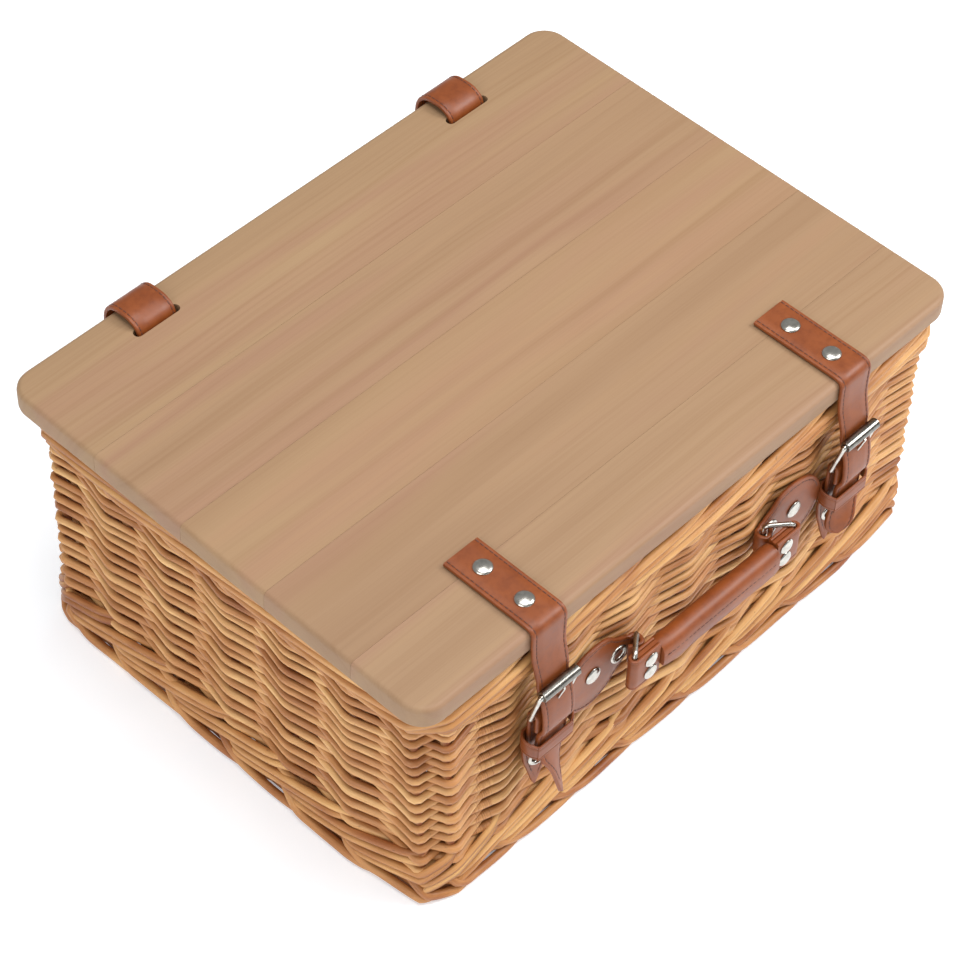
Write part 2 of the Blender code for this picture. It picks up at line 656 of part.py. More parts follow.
def handle_grip():
    """A rolled leather sleeve; its stitched seam flange hangs straight down from the roll's front."""
    flange_back = FLANGE_THICK - GRIP_RADIUS
    join_angle = math.degrees(math.acos(flange_back / GRIP_RADIUS))
    roll = arc((0, GRIP_RISE), GRIP_RADIUS, -join_angle, 180, 20)
    flange = [(-GRIP_RADIUS, -FLANGE_DROP), (flange_back, -FLANGE_DROP)]
    bore = arc((0, GRIP_RISE), GRIP_BORE, 0, 360, 16)[:-1]
    sleeve = plate("handle_grip", [roll + flange, bore], 2 * GRIP_HALF_LENGTH)
    sleeve.matrix_world = (Matrix.Translation((0, GRIP_Y, HANDLE_Z))
                           @ Matrix(((0, 0, 1, 0), (1, 0, 0, 0), (0, 1, 0, 0), (0, 0, 0, 1))))
    mesh = curve_to_mesh(sleeve)
    grip = add_object("handle_grip", mesh, LEATHER)
    mesh.shade_smooth()
    mesh.set_sharp_from_angle(angle=math.radians(40))
    return grip


def build_handle(siding):
    core = handle_core()
    pieces = [core, handle_grip()]
    face = GRIP_Y - RING_WIRE - GAP - BLOCK_THICK
    depth = 2 * (GRIP_Y - face) + 2 * GAP
    for side, sign in SIDES:
        handle_tab(side, sign, siding)
        block = end_block(side, sign)
        pieces += [handle_ring(side, sign), block]
        for place, rise in (("upper", BLOCK_RIVET_RISE), ("lower", -BLOCK_RIVET_RISE)):
            spot = (sign * BLOCK_RIVET_X, face - GAP, HANDLE_Z + rise)
            name = f"handle_rivet_{side}_{place}"
            hole = round_cutter(name + "_hole", spot, (0, 1, 0), BLOCK_SHANK_HOLE, THROUGH)
            boolean(block, hole)
            boolean(core, hole)
            profile = spool(*HANDLE_HEAD, BLOCK_SHANK, depth, BLOCK_RIVET_FOOT, FOOT_HEIGHT)
            pieces.append(turned(name, profile, spot, (0, -1, 0), NICKEL))
    hang_on("handle_axis", (0, HANDLE_AXIS_Y, HANDLE_Z), pieces)


# ---------------------------------------------------------------- assembly

clear_scene()
PARTS = new_collection("picnic_hamper")
CUTTERS = new_collection("cutters")
WILLOW = new_material("willow", (0.62, 0.40, 0.22), 0.55)
WOOD = new_material("lid_wood", (0.50, 0.33, 0.20), 0.60)
LEATHER = new_material("tan_leather", (0.38, 0.13, 0.06), 0.50)
NICKEL = new_material("nickel", (0.68, 0.67, 0.62), 0.25, 1.0)

SIDING = build_basket()
LID = build_lid()
build_hinges(SIDING)
build_closures(SIDING, LID)
build_handle(SIDING)
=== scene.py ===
"""Willow picnic hamper, seen from its front left corner: woven wall, board lid, leather and nickel.

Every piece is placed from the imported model: node boxes and joint positions give the sizes.
"""
import json
import math

import bmesh
import bpy
import numpy as np
from mathutils import Matrix, Vector


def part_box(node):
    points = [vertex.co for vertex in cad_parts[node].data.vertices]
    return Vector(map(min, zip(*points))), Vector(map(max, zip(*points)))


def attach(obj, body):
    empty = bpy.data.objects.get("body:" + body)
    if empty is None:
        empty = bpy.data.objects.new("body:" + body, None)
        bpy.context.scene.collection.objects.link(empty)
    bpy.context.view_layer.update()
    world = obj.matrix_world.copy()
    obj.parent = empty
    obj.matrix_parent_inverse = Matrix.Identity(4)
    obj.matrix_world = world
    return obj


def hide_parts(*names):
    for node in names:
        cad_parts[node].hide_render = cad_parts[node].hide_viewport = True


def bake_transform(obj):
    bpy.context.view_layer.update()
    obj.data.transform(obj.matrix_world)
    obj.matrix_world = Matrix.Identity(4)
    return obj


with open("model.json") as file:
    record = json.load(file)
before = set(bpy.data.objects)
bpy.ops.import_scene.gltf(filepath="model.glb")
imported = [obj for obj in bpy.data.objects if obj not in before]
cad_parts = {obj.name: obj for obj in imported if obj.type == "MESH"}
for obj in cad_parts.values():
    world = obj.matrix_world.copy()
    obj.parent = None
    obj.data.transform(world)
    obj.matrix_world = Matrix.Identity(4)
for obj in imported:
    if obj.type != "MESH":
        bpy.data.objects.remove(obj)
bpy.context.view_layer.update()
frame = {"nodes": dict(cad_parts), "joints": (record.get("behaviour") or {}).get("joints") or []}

MM = 0.001
SIDES = (("left", -1), ("right", 1))
RNG = np.random.default_rng(11)
X_AXIS, Y_AXIS, Z_AXIS = (1, 0, 0), (0, 1, 0), (0, 0, 1)

# Weave
WALL_REACH = 4.55 * MM                      # a rod's distance from the wall's middle as it passes a stake
WALL_ROD = 2.15 * MM                        # an average rod, between the wall's middle and its faces
ROD_RADIUS = (2.55 * MM, 1.9 * MM)          # at the lowest and the highest woven row
ROW_PITCH = (5.0 * MM, 3.35 * MM)
WOVEN = (25 * MM, 148.5 * MM)               # levels of the lowest and the highest woven row
STAKE_RADIUS = 2.7 * MM
NEAR_CORNER = 22 * MM                       # radius of the wall's middle line at the front left corner
FAR_CORNER = 13 * MM                        # and at the other three, which are squarer
RIGHT_SHIFT = 4 * MM                        # the right wall bellies out this much further than the left
LONG_SPACING = 46.5 * MM
SHORT_SPACING = 45.5 * MM
CORNER_STAKES = (24, 66)                    # degrees round each corner, at the top
CORNER_LEAN = 17.5                          # degrees the corner stakes swing by on their way down


def joint_at(name):
    return Vector(next(j["pos_m"] for j in frame["joints"] if j["name"] == name))


def centre(node):
    low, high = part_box(node)
    return (low + high) / 2


# ---------------------------------------------------------------- meshes from sweeps

def spline(points, per_span, closed=False):
    """Catmull-Rom curve through points of any dimension."""
    pts = np.asarray(points, float)
    count = len(pts)
    spans = count if closed else count - 1
    steps = np.linspace(0, 1, per_span, endpoint=False)[:, None]
    out = []
    for i in range(spans):
        if closed:
            a, b, c, d = pts[i - 1], pts[i], pts[(i + 1) % count], pts[(i + 2) % count]
        else:
            a, b, c = pts[max(i - 1, 0)], pts[i], pts[i + 1]
            d = pts[min(i + 2, count - 1)]
        out.append(0.5 * (2 * b + (c - a) * steps + (2 * a - 5 * b + 4 * c - d) * steps ** 2
                          + (3 * b - a - 3 * c + d) * steps ** 3))
    if not closed:
        out.append(pts[-1:])
    return np.concatenate(out)


def unit(v):
    return v / np.maximum(np.linalg.norm(v, axis=-1, keepdims=True), 1e-12)


def tangents(path, closed):
    if closed:
        return unit(np.roll(path, -1, 0) - np.roll(path, 1, 0))
    return unit(np.gradient(path, axis=0))


def travelled(path):
    """Distance from the start to each point of a path."""
    return np.concatenate([[0], np.cumsum(np.linalg.norm(np.diff(path, axis=0), axis=1))])


def carried_frames(path, closed, up):
    """Side and up directions along a path, kept from twisting."""
    along = tangents(path, closed)
    if closed:
        side = unit(np.cross(np.asarray(up, float), along))
        return side, np.cross(along, side)
    side = np.zeros_like(path)
    start = np.cross(np.asarray(up, float), along[0])
    if np.linalg.norm(start) < 0.2:
        start = np.cross(np.array([1.0, 0.3, 0.1]), along[0])
    side[0] = unit(start)
    for i in range(1, len(path)):
        kept = side[i - 1] - along[i] * (side[i - 1] @ along[i])
        side[i] = unit(kept)
    return side, np.cross(along, side)


class Bundle:
    """Gathers rods or solids into one mesh; each point keeps its tone, its place and how far up it faces."""

    def __init__(self):
        self.verts, self.faces, self.tone, self.place, self.upper = [], [], [], [], []
        self.count = 0

    def add(self, rings, closed, tone, along, girth, upper=0.0):
        """rings: array (stations, points round, 3)."""
        stations, around = rings.shape[:2]
        base = self.count
        self.verts.append(rings.reshape(-1, 3))
        self.count += stations * around
        seed = RNG.random() * 20
        place = np.zeros((stations, around, 3))
        place[..., 0] = along[:, None]
        place[..., 1] = girth[None, :]
        place[..., 2] = seed
        self.place.append(place.reshape(-1, 3))
        self.tone.append(np.full(stations * around, tone))
        self.upper.append(np.broadcast_to(upper, (stations, around)).ravel())
        last = stations if closed else stations - 1
        for i in range(last):
            a, b = base + i * around, base + ((i + 1) % stations) * around
            for k in range(around):
                n = (k + 1) % around
                self.faces.append((a + k, a + n, b + n, b + k))
        if not closed:
            self.faces.append(tuple(base + k for k in reversed(range(around))))
            self.faces.append(tuple(base + (stations - 1) * around + k for k in range(around)))

    def rod(self, path, radius, sides=8, closed=False, tone=0.5, up=Z_AXIS):
        """A round rod; radius is one number or one for each point."""
        path = np.asarray(path, float)
        radius = np.broadcast_to(np.asarray(radius, float), (len(path),))
        side, top = carried_frames(path, closed, up)
        angle = np.linspace(0, 2 * math.pi, sides, endpoint=False)
        rings = (path[:, None] + side[:, None] * (np.cos(angle)[None, :, None] * radius[:, None, None])
                 + top[:, None] * (np.sin(angle)[None, :, None] * radius[:, None, None]))
        self.add(rings, closed, tone, travelled(path), angle * float(radius.mean()), upper=np.sin(angle))

    def build(self, name, material, body, sharp=50):
        mesh = bpy.data.meshes.new(name)
        verts = np.concatenate(self.verts)
        mesh.from_pydata(verts.tolist(), [], self.faces)
        tone = mesh.attributes.new("tone", "FLOAT", "POINT")
        tone.data.foreach_set("value", np.concatenate(self.tone).astype(np.float32))
        upper = mesh.attributes.new("upper", "FLOAT", "POINT")
        upper.data.foreach_set("value", np.concatenate(self.upper).astype(np.float32))
        place = mesh.attributes.new("place", "FLOAT_VECTOR", "POINT")
        place.data.foreach_set("vector", np.concatenate(self.place).astype(np.float32).ravel())
        fix_normals(mesh)
        obj = linked_object(name, mesh, material, sharp)
        if body:
            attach(obj, body)
        return obj


def fix_normals(mesh):
    bm = bmesh.new()
    bm.from_mesh(mesh)
    bmesh.ops.recalc_face_normals(bm, faces=bm.faces)
    bm.to_mesh(mesh)
    bm.free()


def linked_object(name, mesh, material, sharp):
    """An object in the scene, smooth but for its edges sharper than an angle; None keeps it flat."""
    if sharp is not None:
        mesh.shade_smooth()
        mesh.set_sharp_from_angle(angle=math.radians(sharp))
    mesh.materials.append(material)
    obj = bpy.data.objects.new(name, mesh)
    bpy.context.scene.collection.objects.link(obj)
    return obj


def object_from(name, bm, material, sharp=40):
    mesh = bpy.data.meshes.new(name)
    bmesh.ops.recalc_face_normals(bm, faces=bm.faces)
    bm.to_mesh(mesh)
    bm.free()
    return linked_object(name, mesh, material, sharp)


def cut_away(piece, tool):
    """Take a tool's shape out of a piece, then remove the tool."""
    modifier = piece.modifiers.new("Cut", "BOOLEAN")
    modifier.operation = "DIFFERENCE"
    modifier.object = tool
    bpy.context.view_layer.update()
    evaluated = piece.evaluated_get(bpy.context.evaluated_depsgraph_get())
    mesh = bpy.data.meshes.new_from_object(evaluated)
    old = piece.data
    piece.modifiers.clear()
    piece.data = mesh
    bpy.data.meshes.remove(old)
    bpy.data.objects.remove(tool, do_unlink=True)


def lathe(name, profile, place, axis, material, closed=False):
    """Profile points (radius, height) turned round an axis at a place."""
    segments = 40
    bm = bmesh.new()
    rings = []
    turn = Vector(Z_AXIS).rotation_difference(Vector(axis)).to_matrix().to_4x4()
    to_world = Matrix.Translation(place) @ turn
    for radius, height in profile:
        if radius < 1e-7:
            rings.append([bm.verts.new(to_world @ Vector((0, 0, height)))])
            continue
        ring = []
        for k in range(segments):
            t = math.tau * k / segments
            ring.append(bm.verts.new(to_world @ Vector((radius * math.cos(t), radius * math.sin(t), height))))
        rings.append(ring)
    pairs = list(zip(rings, rings[1:]))
    if closed:
        pairs.append((rings[-1], rings[0]))
    for a, b in pairs:
        for k in range(segments):
            n = (k + 1) % segments
            corners = [a[k % len(a)], a[n % len(a)], b[n % len(b)], b[k % len(b)]]
            face = list(dict.fromkeys(corners))
            if len(face) > 2:
                bm.faces.new(face)
    return object_from(name, bm, material)


# ---------------------------------------------------------------- materials

class Nodes:
    """Short words for building a procedural material."""

    def __init__(self, name):
        self.material = bpy.data.materials.new(name)
        self.material.use_nodes = True
        self.tree = self.material.node_tree
        self.shader = self.tree.nodes["Principled BSDF"]

    def link(self, source, target):
        self.tree.links.new(source, target)

    def feed(self, socket, value):
        """Give a socket a fixed value, or another node's output."""
        if hasattr(value, "is_output"):
            self.link(value, socket)
        else:
            socket.default_value = value

    def new(self, kind, **inputs):
        node = self.tree.nodes.new(kind)
        for key, value in inputs.items():
            self.feed(node.inputs[key.replace("_", " ")], value)
        return node

    def object_space(self):
        return self.tree.nodes.new("ShaderNodeTexCoord").outputs["Object"]

    def attribute(self, name, output):
        node = self.tree.nodes.new("ShaderNodeAttribute")
        node.attribute_name = name
        return node.outputs[output]

    def scaled(self, vector, scale, offset=(0, 0, 0)):
        node = self.tree.nodes.new("ShaderNodeMapping")
        self.link(vector, node.inputs["Vector"])
        node.inputs["Scale"].default_value = scale
        node.inputs["Location"].default_value = offset
        return node.outputs["Vector"]

    def noise(self, vector, detail, roughness=0.5):
        node = self.new("ShaderNodeTexNoise", Vector=vector, Scale=1.0, Detail=detail, Roughness=roughness)
        return node.outputs["Fac"]

    def math(self, operation, a, b=None, clamp=False):
        node = self.tree.nodes.new("ShaderNodeMath")
        node.operation = operation
        node.use_clamp = clamp
        for socket, value in zip(node.inputs, (a, b)):
            if value is not None:
                self.feed(socket, value)
        return node.outputs[0]

    def ramp(self, factor, stops):
        node = self.tree.nodes.new("ShaderNodeValToRGB")
        elements = node.color_ramp.elements
        while len(elements) < len(stops):
            elements.new(0.5)
        for element, (position, colour) in zip(elements, stops):
            element.position = position
            element.color = (*colour, 1.0)
        self.link(factor, node.inputs["Fac"])
        return node.outputs["Color"]

    def mix(self, factor, a, b, blend="MIX"):
        node = self.tree.nodes.new("ShaderNodeMix")
        node.data_type = "RGBA"
        node.blend_type = blend
        for name, value in (("Factor", factor), ("A", a), ("B", b)):
            kind = "VALUE" if name == "Factor" else "RGBA"
            socket = next(s for s in node.inputs if s.name == name and s.type == kind)
            self.feed(socket, (*value, 1.0) if isinstance(value, tuple) else value)
        return next(s for s in node.outputs if s.type == "RGBA")

    def finish(self, colour, roughness, bump=None, strength=0.3, distance=0.2 * MM, **sockets):
        self.link(colour, self.shader.inputs["Base Color"])
        self.feed(self.shader.inputs["Roughness"], roughness)
        if bump is not None:
            node = self.new("ShaderNodeBump", Strength=strength, Distance=distance, Height=bump)
            self.link(node.outputs["Normal"], self.shader.inputs["Normal"])
        for name, value in sockets.items():
            self.feed(self.shader.inputs[name.replace("_", " ")], value)
        return self.material


def spread(n, value, low, high):
    """Map a 0..1 noise to a range."""
    node = n.tree.nodes.new("ShaderNodeMapRange")
    n.link(value, node.inputs["Value"])
    node.inputs["To Min"].default_value = low
    node.inputs["To Max"].default_value = high
    return node.outputs["Result"]


UNDERSIDE_SHADE = 0.92                      # how far a rod's lower side takes a painted shade, darker and redder


def willow(name, dark, mid, light):
    """Peeled willow: each rod has its own tone, with long streaks, small knots, a satin skin and a painted
    shade on its lower side.
    """
    n = Nodes(name)
    tone = n.attribute("tone", "Fac")
    place = n.attribute("place", "Vector")
    streak = n.noise(n.scaled(place, (22, 900, 1)), detail=4, roughness=0.6)
    patch = n.noise(n.scaled(place, (26, 60, 3)), detail=2)
    factor = n.math("ADD", tone, n.math("MULTIPLY", n.math("SUBTRACT", streak, 0.5), 0.5))
    factor = n.math("ADD", factor, n.math("MULTIPLY", n.math("SUBTRACT", patch, 0.5), 1.3), clamp=True)
    colour = n.ramp(factor, [(0.05, dark), (0.45, mid), (0.95, light)])
    fleck = n.noise(n.scaled(place, (260, 420, 5)), detail=1)
    knots = n.ramp(fleck, [(0.74, (0, 0, 0)), (0.82, (1, 1, 1))])
    colour = n.mix(n.math("MULTIPLY", knots, 0.45), colour, (0.12, 0.045, 0.015))
    # painted shade: each rod's lower side is darkened and reddened to stand in for the shade beneath it
    painted_underside_shade = n.math("MULTIPLY", n.attribute("upper", "Fac"), -UNDERSIDE_SHADE, clamp=True)
    colour = n.mix(painted_underside_shade, colour, (0.21, 0.050, 0.014))
    rough = spread(n, patch, 0.38, 0.58)
    height = n.math("ADD", streak, n.math("MULTIPLY", patch, 0.8))
    return n.finish(colour, rough, height, strength=0.35, distance=0.25 * MM, Specular_IOR_Level=0.45)


LOG_HEART = 111 * MM                        # level of the log's heart, well under the lid


def board_wood(name, seed, tint):
    """Washed pine: growth rings cut by the board's faces, with fine pores and soft colour bands."""
    n = Nodes(name)
    where = n.object_space()
    sway = n.noise(n.scaled(where, (3.2, 9, 9), (seed, seed * 2.3, 0)), detail=2)
    parts = n.new("ShaderNodeSeparateXYZ", Vector=where)
    across = n.math("ADD", parts.outputs["Y"], n.math("MULTIPLY", n.math("SUBTRACT", sway, 0.5), 22 * MM))
    across = n.math("SUBTRACT", across, (seed % 1.0 - 0.5) * 0.11)
    depth = n.math("SUBTRACT", parts.outputs["Z"], LOG_HEART)
    squares = n.math("ADD", n.math("MULTIPLY", across, across), n.math("MULTIPLY", depth, depth))
    radius = n.math("SQRT", squares)
    coords = n.new("ShaderNodeCombineXYZ", X=n.math("MULTIPLY", parts.outputs["X"], 1.6),
                   Y=n.math("MULTIPLY", radius, 330.0), Z=seed)
    rings = n.noise(coords.outputs["Vector"], detail=3, roughness=0.55)
    pores = n.noise(n.scaled(where, (14, 1100, 1100), (seed, 0, 0)), detail=2)
    bands = n.noise(n.scaled(where, (2.4, 22, 22), (seed * 3, 0, 0)), detail=2)
    base = n.ramp(bands, [(0.30, (0.302, 0.186, 0.103)), (0.50, (0.329, 0.207, 0.115)),
                          (0.62, (0.324, 0.190, 0.113)), (0.75, (0.350, 0.226, 0.124))])
    ring_tint = n.ramp(rings, [(0.30, (0.88, 0.83, 0.78)), (0.52, (1.0, 1.0, 1.0)),
                               (0.75, (1.05, 1.04, 1.0))])
    colour = n.mix(0.65, base, ring_tint, "MULTIPLY")
    pore_tint = n.ramp(pores, [(0.25, (0.82, 0.78, 0.74)), (0.55, (1, 1, 1))])
    colour = n.mix(0.30, colour, pore_tint, "MULTIPLY")
    colour = n.mix(1.0, colour, tint, "MULTIPLY")
    height = n.math("ADD", rings, n.math("MULTIPLY", pores, 0.6))
    return n.finish(colour, spread(n, rings, 0.50, 0.62), height, strength=0.12, distance=0.2 * MM,
                    Specular_IOR_Level=0.35)


def leather(name, colour_a, colour_b):
    """Smooth tan leather: pebbled grain, soft colour patches and a thin waxy coat."""
    n = Nodes(name)
    where = n.object_space()
    pebble = n.new("ShaderNodeTexVoronoi", Vector=where, Scale=1500.0)
    wrinkle = n.noise(n.scaled(where, (260, 260, 260)), detail=4, roughness=0.6)
    patch = n.noise(n.scaled(where, (55, 55, 55)), detail=2)
    colour = n.ramp(patch, [(0.3, colour_a), (0.7, colour_b)])
    pits = n.ramp(wrinkle, [(0.30, (0.72, 0.66, 0.62)), (0.55, (1, 1, 1))])
    colour = n.mix(0.6, colour, pits, "MULTIPLY")
    height = n.math("ADD", n.math("MULTIPLY", pebble.outputs["Distance"], 0.5), wrinkle)
    return n.finish(colour, spread(n, wrinkle, 0.38, 0.52), height, strength=0.22, distance=0.12 * MM,
                    Specular_IOR_Level=0.42, Coat_Weight=0.10, Coat_Roughness=0.40)


def thread():
    n = Nodes("waxed_thread")
    twist = n.noise(n.scaled(n.object_space(), (1800, 1800, 1800)), detail=1)
    colour = n.ramp(twist, [(0.3, (0.075, 0.022, 0.012)), (0.7, (0.15, 0.05, 0.028))])
    return n.finish(colour, 0.55, twist, strength=0.3, distance=0.1 * MM)


def nickel(name, dark, light):
    n = Nodes(name)
    where = n.object_space()
    cloud = n.noise(n.scaled(where, (300, 300, 300)), detail=3)
    scuff = n.noise(n.scaled(where, (2600, 2600, 2600)), detail=2)
    colour = n.ramp(cloud, [(0.3, dark), (0.7, light)])
    return n.finish(colour, spread(n, cloud, 0.16, 0.30), scuff, strength=0.05, distance=0.05 * MM,
                    Metallic=1.0)


WILLOW = willow("peeled_willow", (0.26, 0.078, 0.019), (0.52, 0.232, 0.078), (0.77, 0.465, 0.190))
BORDER_WILLOW = willow("border_willow", (0.29, 0.085, 0.021), (0.51, 0.228, 0.072), (0.73, 0.415, 0.155))
STAKE_WILLOW = willow("stake_willow", (0.14, 0.045, 0.016), (0.28, 0.12, 0.045), (0.46, 0.24, 0.10))
LEATHER = leather("tan_leather_grain", (0.196, 0.044, 0.007), (0.256, 0.063, 0.011))
THREAD = thread()
NICKEL = nickel("nickel_plate", (0.44, 0.42, 0.38), (0.60, 0.58, 0.53))
# a darker copy of the nickel plate, used for the roller
ROLLER_NICKEL = nickel("dark_nickel", (0.15, 0.14, 0.125), (0.26, 0.25, 0.225))


# ---------------------------------------------------------------- woven basket

siding_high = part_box("wicker_siding")[1]
WALL_X = siding_high.x - WALL_ROD - WALL_REACH
WALL_Y = siding_high.y - WALL_ROD - WALL_REACH


def corner_point(sx, sy, degrees, height):
    """Point and outward direction on the wall's middle line, degrees measured from the long side."""
    drop = min(max((WOVEN[1] - height) / (WOVEN[1] - WOVEN[0]), 0.0), 1.0)
    turn = math.radians(degrees - CORNER_LEAN * drop * sx * sy)
    out = np.array([sx * math.sin(turn), sy * math.cos(turn)])
    radius = NEAR_CORNER if sx < 0 and sy < 0 else FAR_CORNER
    belly = RIGHT_SHIFT if sx > 0 else 0.0
    pivot = np.array([sx * (WALL_X - radius) + belly, sy * (WALL_Y - radius)])
    return pivot + out * radius, out


def stake_ring(height):
    """Every stake's place and outward direction at a height, anticlockwise from the front left."""
    stakes = []
    for turn in (-1, 1):                    # the front and right walls, then the back and left ones
        for k in range(-3, 4):
            stakes.append((np.array([-turn * k * LONG_SPACING, turn * WALL_Y]), np.array([0.0, turn])))
        for degrees in CORNER_STAKES:
            stakes.append(corner_point(-turn, turn, degrees, height))
        out = WALL_X + RIGHT_SHIFT if turn < 0 else WALL_X
        for k in range(-2, 3):
            stakes.append((np.array([-turn * out, -turn * k * SHORT_SPACING]), np.array([-turn, 0.0])))
        for degrees in reversed(CORNER_STAKES):
            stakes.append(corner_point(-turn, -turn, degrees, height))
    return stakes


STAKE_COUNT = len(stake_ring(0.0))


def on_wall(level, marks, outs, heights):
    """Points at stake coordinates (stake number plus share of the way to the next), out from the middle."""
    places = np.array([place for place, _ in stake_ring(level)])
    normals = np.array([out for _, out in stake_ring(level)])
    index = np.floor(marks).astype(int) % STAKE_COUNT
    after = (index + 1) % STAKE_COUNT
    share = (marks - np.floor(marks))[:, None]
    flat = places[index] * (1 - share) + places[after] * share
    normal = unit(normals[index] * (1 - share) + normals[after] * share)
    return np.column_stack([flat + normal * outs[:, None], heights])


def wall_wave(seed, amount):
    """A smooth closed random height along the wall, as a function of the stake coordinate."""
    own = np.random.default_rng(seed)
    terms = [(k, own.normal(), own.random() * math.tau) for k in (2, 3, 5, 7, 11)]

    def height(mark):
        total = sum(a * np.sin(k * mark / STAKE_COUNT * math.tau + p) / math.sqrt(k) for k, a, p in terms)
        return amount * total
    return height


def row_path(row, height, reach, drift, own):
    """One woven round: outside every second stake, inside the others, straight between its bends."""
    knots = []
    for i, (place, out) in enumerate(stake_ring(height)):
        side = 1 if (i + row) % 2 == 0 else -1
        flat = place + out * side * reach * (1.0 + 0.10 * own.normal())
        knots.append(np.array([flat[0], flat[1], height + drift(i) + 0.30 * MM * own.normal()]))
    path = []
    for i in range(STAKE_COUNT):
        before, here, after = knots[i - 1], knots[i], knots[(i + 1) % STAKE_COUNT]
        pull_in = min(6.5 * MM, 0.32 * np.linalg.norm(here - before))
        pull_out = min(6.5 * MM, 0.32 * np.linalg.norm(after - here))
        start = here + unit(before - here) * pull_in
        end = here + unit(after - here) * pull_out
        crown = here + (here - (start + end) / 2) * 0.6
        for t in (0.0, 0.25, 0.5, 0.75, 1.0):
            path.append((1 - t) ** 2 * start + 2 * t * (1 - t) * crown + t ** 2 * end)
        path.append((here + after) / 2)
    return np.array(path)


def row_levels():
    """Heights of the woven rows from the top down, closer together towards the top."""
    levels = [WOVEN[1]]
    while levels[-1] > WOVEN[0]:
        levels.append(levels[-1] - np.interp(levels[-1], WOVEN, ROW_PITCH))
    return levels


def weave_rows():
    bundle = Bundle()
    levels = row_levels()
    for row, height in enumerate(levels):
        own = np.random.default_rng(100 + row)
        drift = wall_wave(5 + row // 5, 0.65 * MM)
        path = row_path(row, height, WALL_REACH, drift, own)
        marks = np.arange(len(path)) / len(path) * math.tau
        thick = np.interp(height, WOVEN, ROD_RADIUS)
        thick = thick * (1.0 + 0.07 * np.sin(marks * own.integers(2, 5) + own.random() * 6))
        bundle.rod(path, thick, sides=10, closed=True, tone=0.36 + 0.30 * own.random())
    # rows behind the foot border; their lower tone is a painted shade
    hidden = np.linspace(levels[-1] - 3.2 * MM, 2.3 * MM, 8)
    for row, height in enumerate(hidden):
        own = np.random.default_rng(300 + row)
        path = row_path(row + len(levels), height, 0.8 * MM, wall_wave(40, 0.1 * MM), own)
        bundle.rod(path, 2.1 * MM, sides=8, closed=True, tone=0.1 + 0.3 * own.random())
    return bundle.build("willow_weavers", WILLOW, "basket")


def wall_stakes():
    bundle = Bundle()
    heights = np.linspace(3 * MM, 158 * MM, 14)
    rings = [stake_ring(height) for height in heights]
    for i in range(STAKE_COUNT):
        path = np.array([[*ring[i][0], height] for ring, height in zip(rings, heights)])
        bundle.rod(path, STAKE_RADIUS, sides=10, tone=0.3 + 0.3 * RNG.random(), up=Y_AXIS)
    return bundle.build("willow_stakes", STAKE_WILLOW, "basket")


def strands(name, level, shapes, radius, tones, scatter=0.30 * MM):
    """Border rods for each stake; each shape lists (stake coordinate, out, height) from a rod's start."""
    bundle = Bundle()
    for i in range(STAKE_COUNT):
        for number, shape in enumerate(shapes):
            own = np.random.default_rng(500 + i * 7 + number * 301 + len(name))
            points = np.array(shape)
            points[1:-1, 1:] += own.normal(size=(len(points) - 2, 2)) * scatter
            points[:, 0] += i + own.normal() * 0.03
            thick = radius * (1 + 0.06 * own.normal())
            points[:, 2] = np.maximum(points[:, 2], thick + 0.15 * MM)
            smooth = spline(points, 7)
            path = on_wall(level, smooth[:, 0], smooth[:, 1], smooth[:, 2])
            share = np.linspace(0, 1, len(path))
            taper = np.interp(share, [0, 0.06, 0.85, 1], [0.55, 1, 0.95, 0.6])
            bundle.rod(path, thick * taper, sides=10, tone=tones[0] + (tones[1] - tones[0]) * own.random())
    return bundle.build(name, BORDER_WILLOW, "basket")


def top_border():
    rise = 5.4 * MM
    low = 148.6 * MM
    shape = [(-0.50, -4 * MM, 146.0 * MM), (-0.15, 1.5 * MM, 147.0 * MM), (0.22, 5.0 * MM, low + 0.25 * rise)]
    for k in (1.0, 2.0):
        shape.append((k, (6.2 - 0.2 * k) * MM, low + k * rise))
    shape += [(2.75, 5.0 * MM, 163.4 * MM), (3.25, 2.2 * MM, 166.2 * MM), (3.8, -1.6 * MM, 167.4 * MM),
              (4.6, -4.8 * MM, 165.5 * MM),
              (5.2, -6.4 * MM, 160 * MM), (6.0, -6.4 * MM, 153 * MM), (6.5, -3.0 * MM, 149.5 * MM)]
    return strands("top_border_rods", WOVEN[1], [shape], 2.65 * MM, (0.36, 0.72))


def foot_wale():
    """Two rods side by side from each stake, rising to the right over the next two stakes."""
    lower = [(-0.30, -3.0 * MM, 8.0 * MM), (-0.05, 2.5 * MM, 8.6 * MM), (0.20, 5.4 * MM, 10.6 * MM),
             (1.0, 5.9 * MM, 20.4 * MM), (1.65, 5.5 * MM, 28.4 * MM), (1.92, 3.2 * MM, 31.6 * MM),
             (2.2, -1.5 * MM, 33.6 * MM), (2.5, -4.0 * MM, 34.2 * MM)]
    beside = [(mark, out * 0.96, height + 4.7 * MM) for mark, out, height in lower]
    return strands("foot_wale_rods", WOVEN[0], [lower, beside], 2.3 * MM, (0.34, 0.74), 0.22 * MM)


def foot_border():
    shape = [(-0.30, -2.0 * MM, 14 * MM), (-0.10, 3.2 * MM, 12.0 * MM), (0.06, 5.4 * MM, 8.6 * MM),
             (0.22, 6.0 * MM, 5.8 * MM), (0.45, 6.0 * MM, 4.0 * MM), (0.90, 5.6 * MM, 3.2 * MM),
             (1.25, 4.6 * MM, 3.0 * MM), (1.55, 0.6 * MM, 2.9 * MM), (1.9, -4.0 * MM, 3.2 * MM),
             (2.4, -6.0 * MM, 4.6 * MM)]
    return strands("foot_border_rods", WOVEN[0], [shape], 2.6 * MM, (0.24, 0.55))


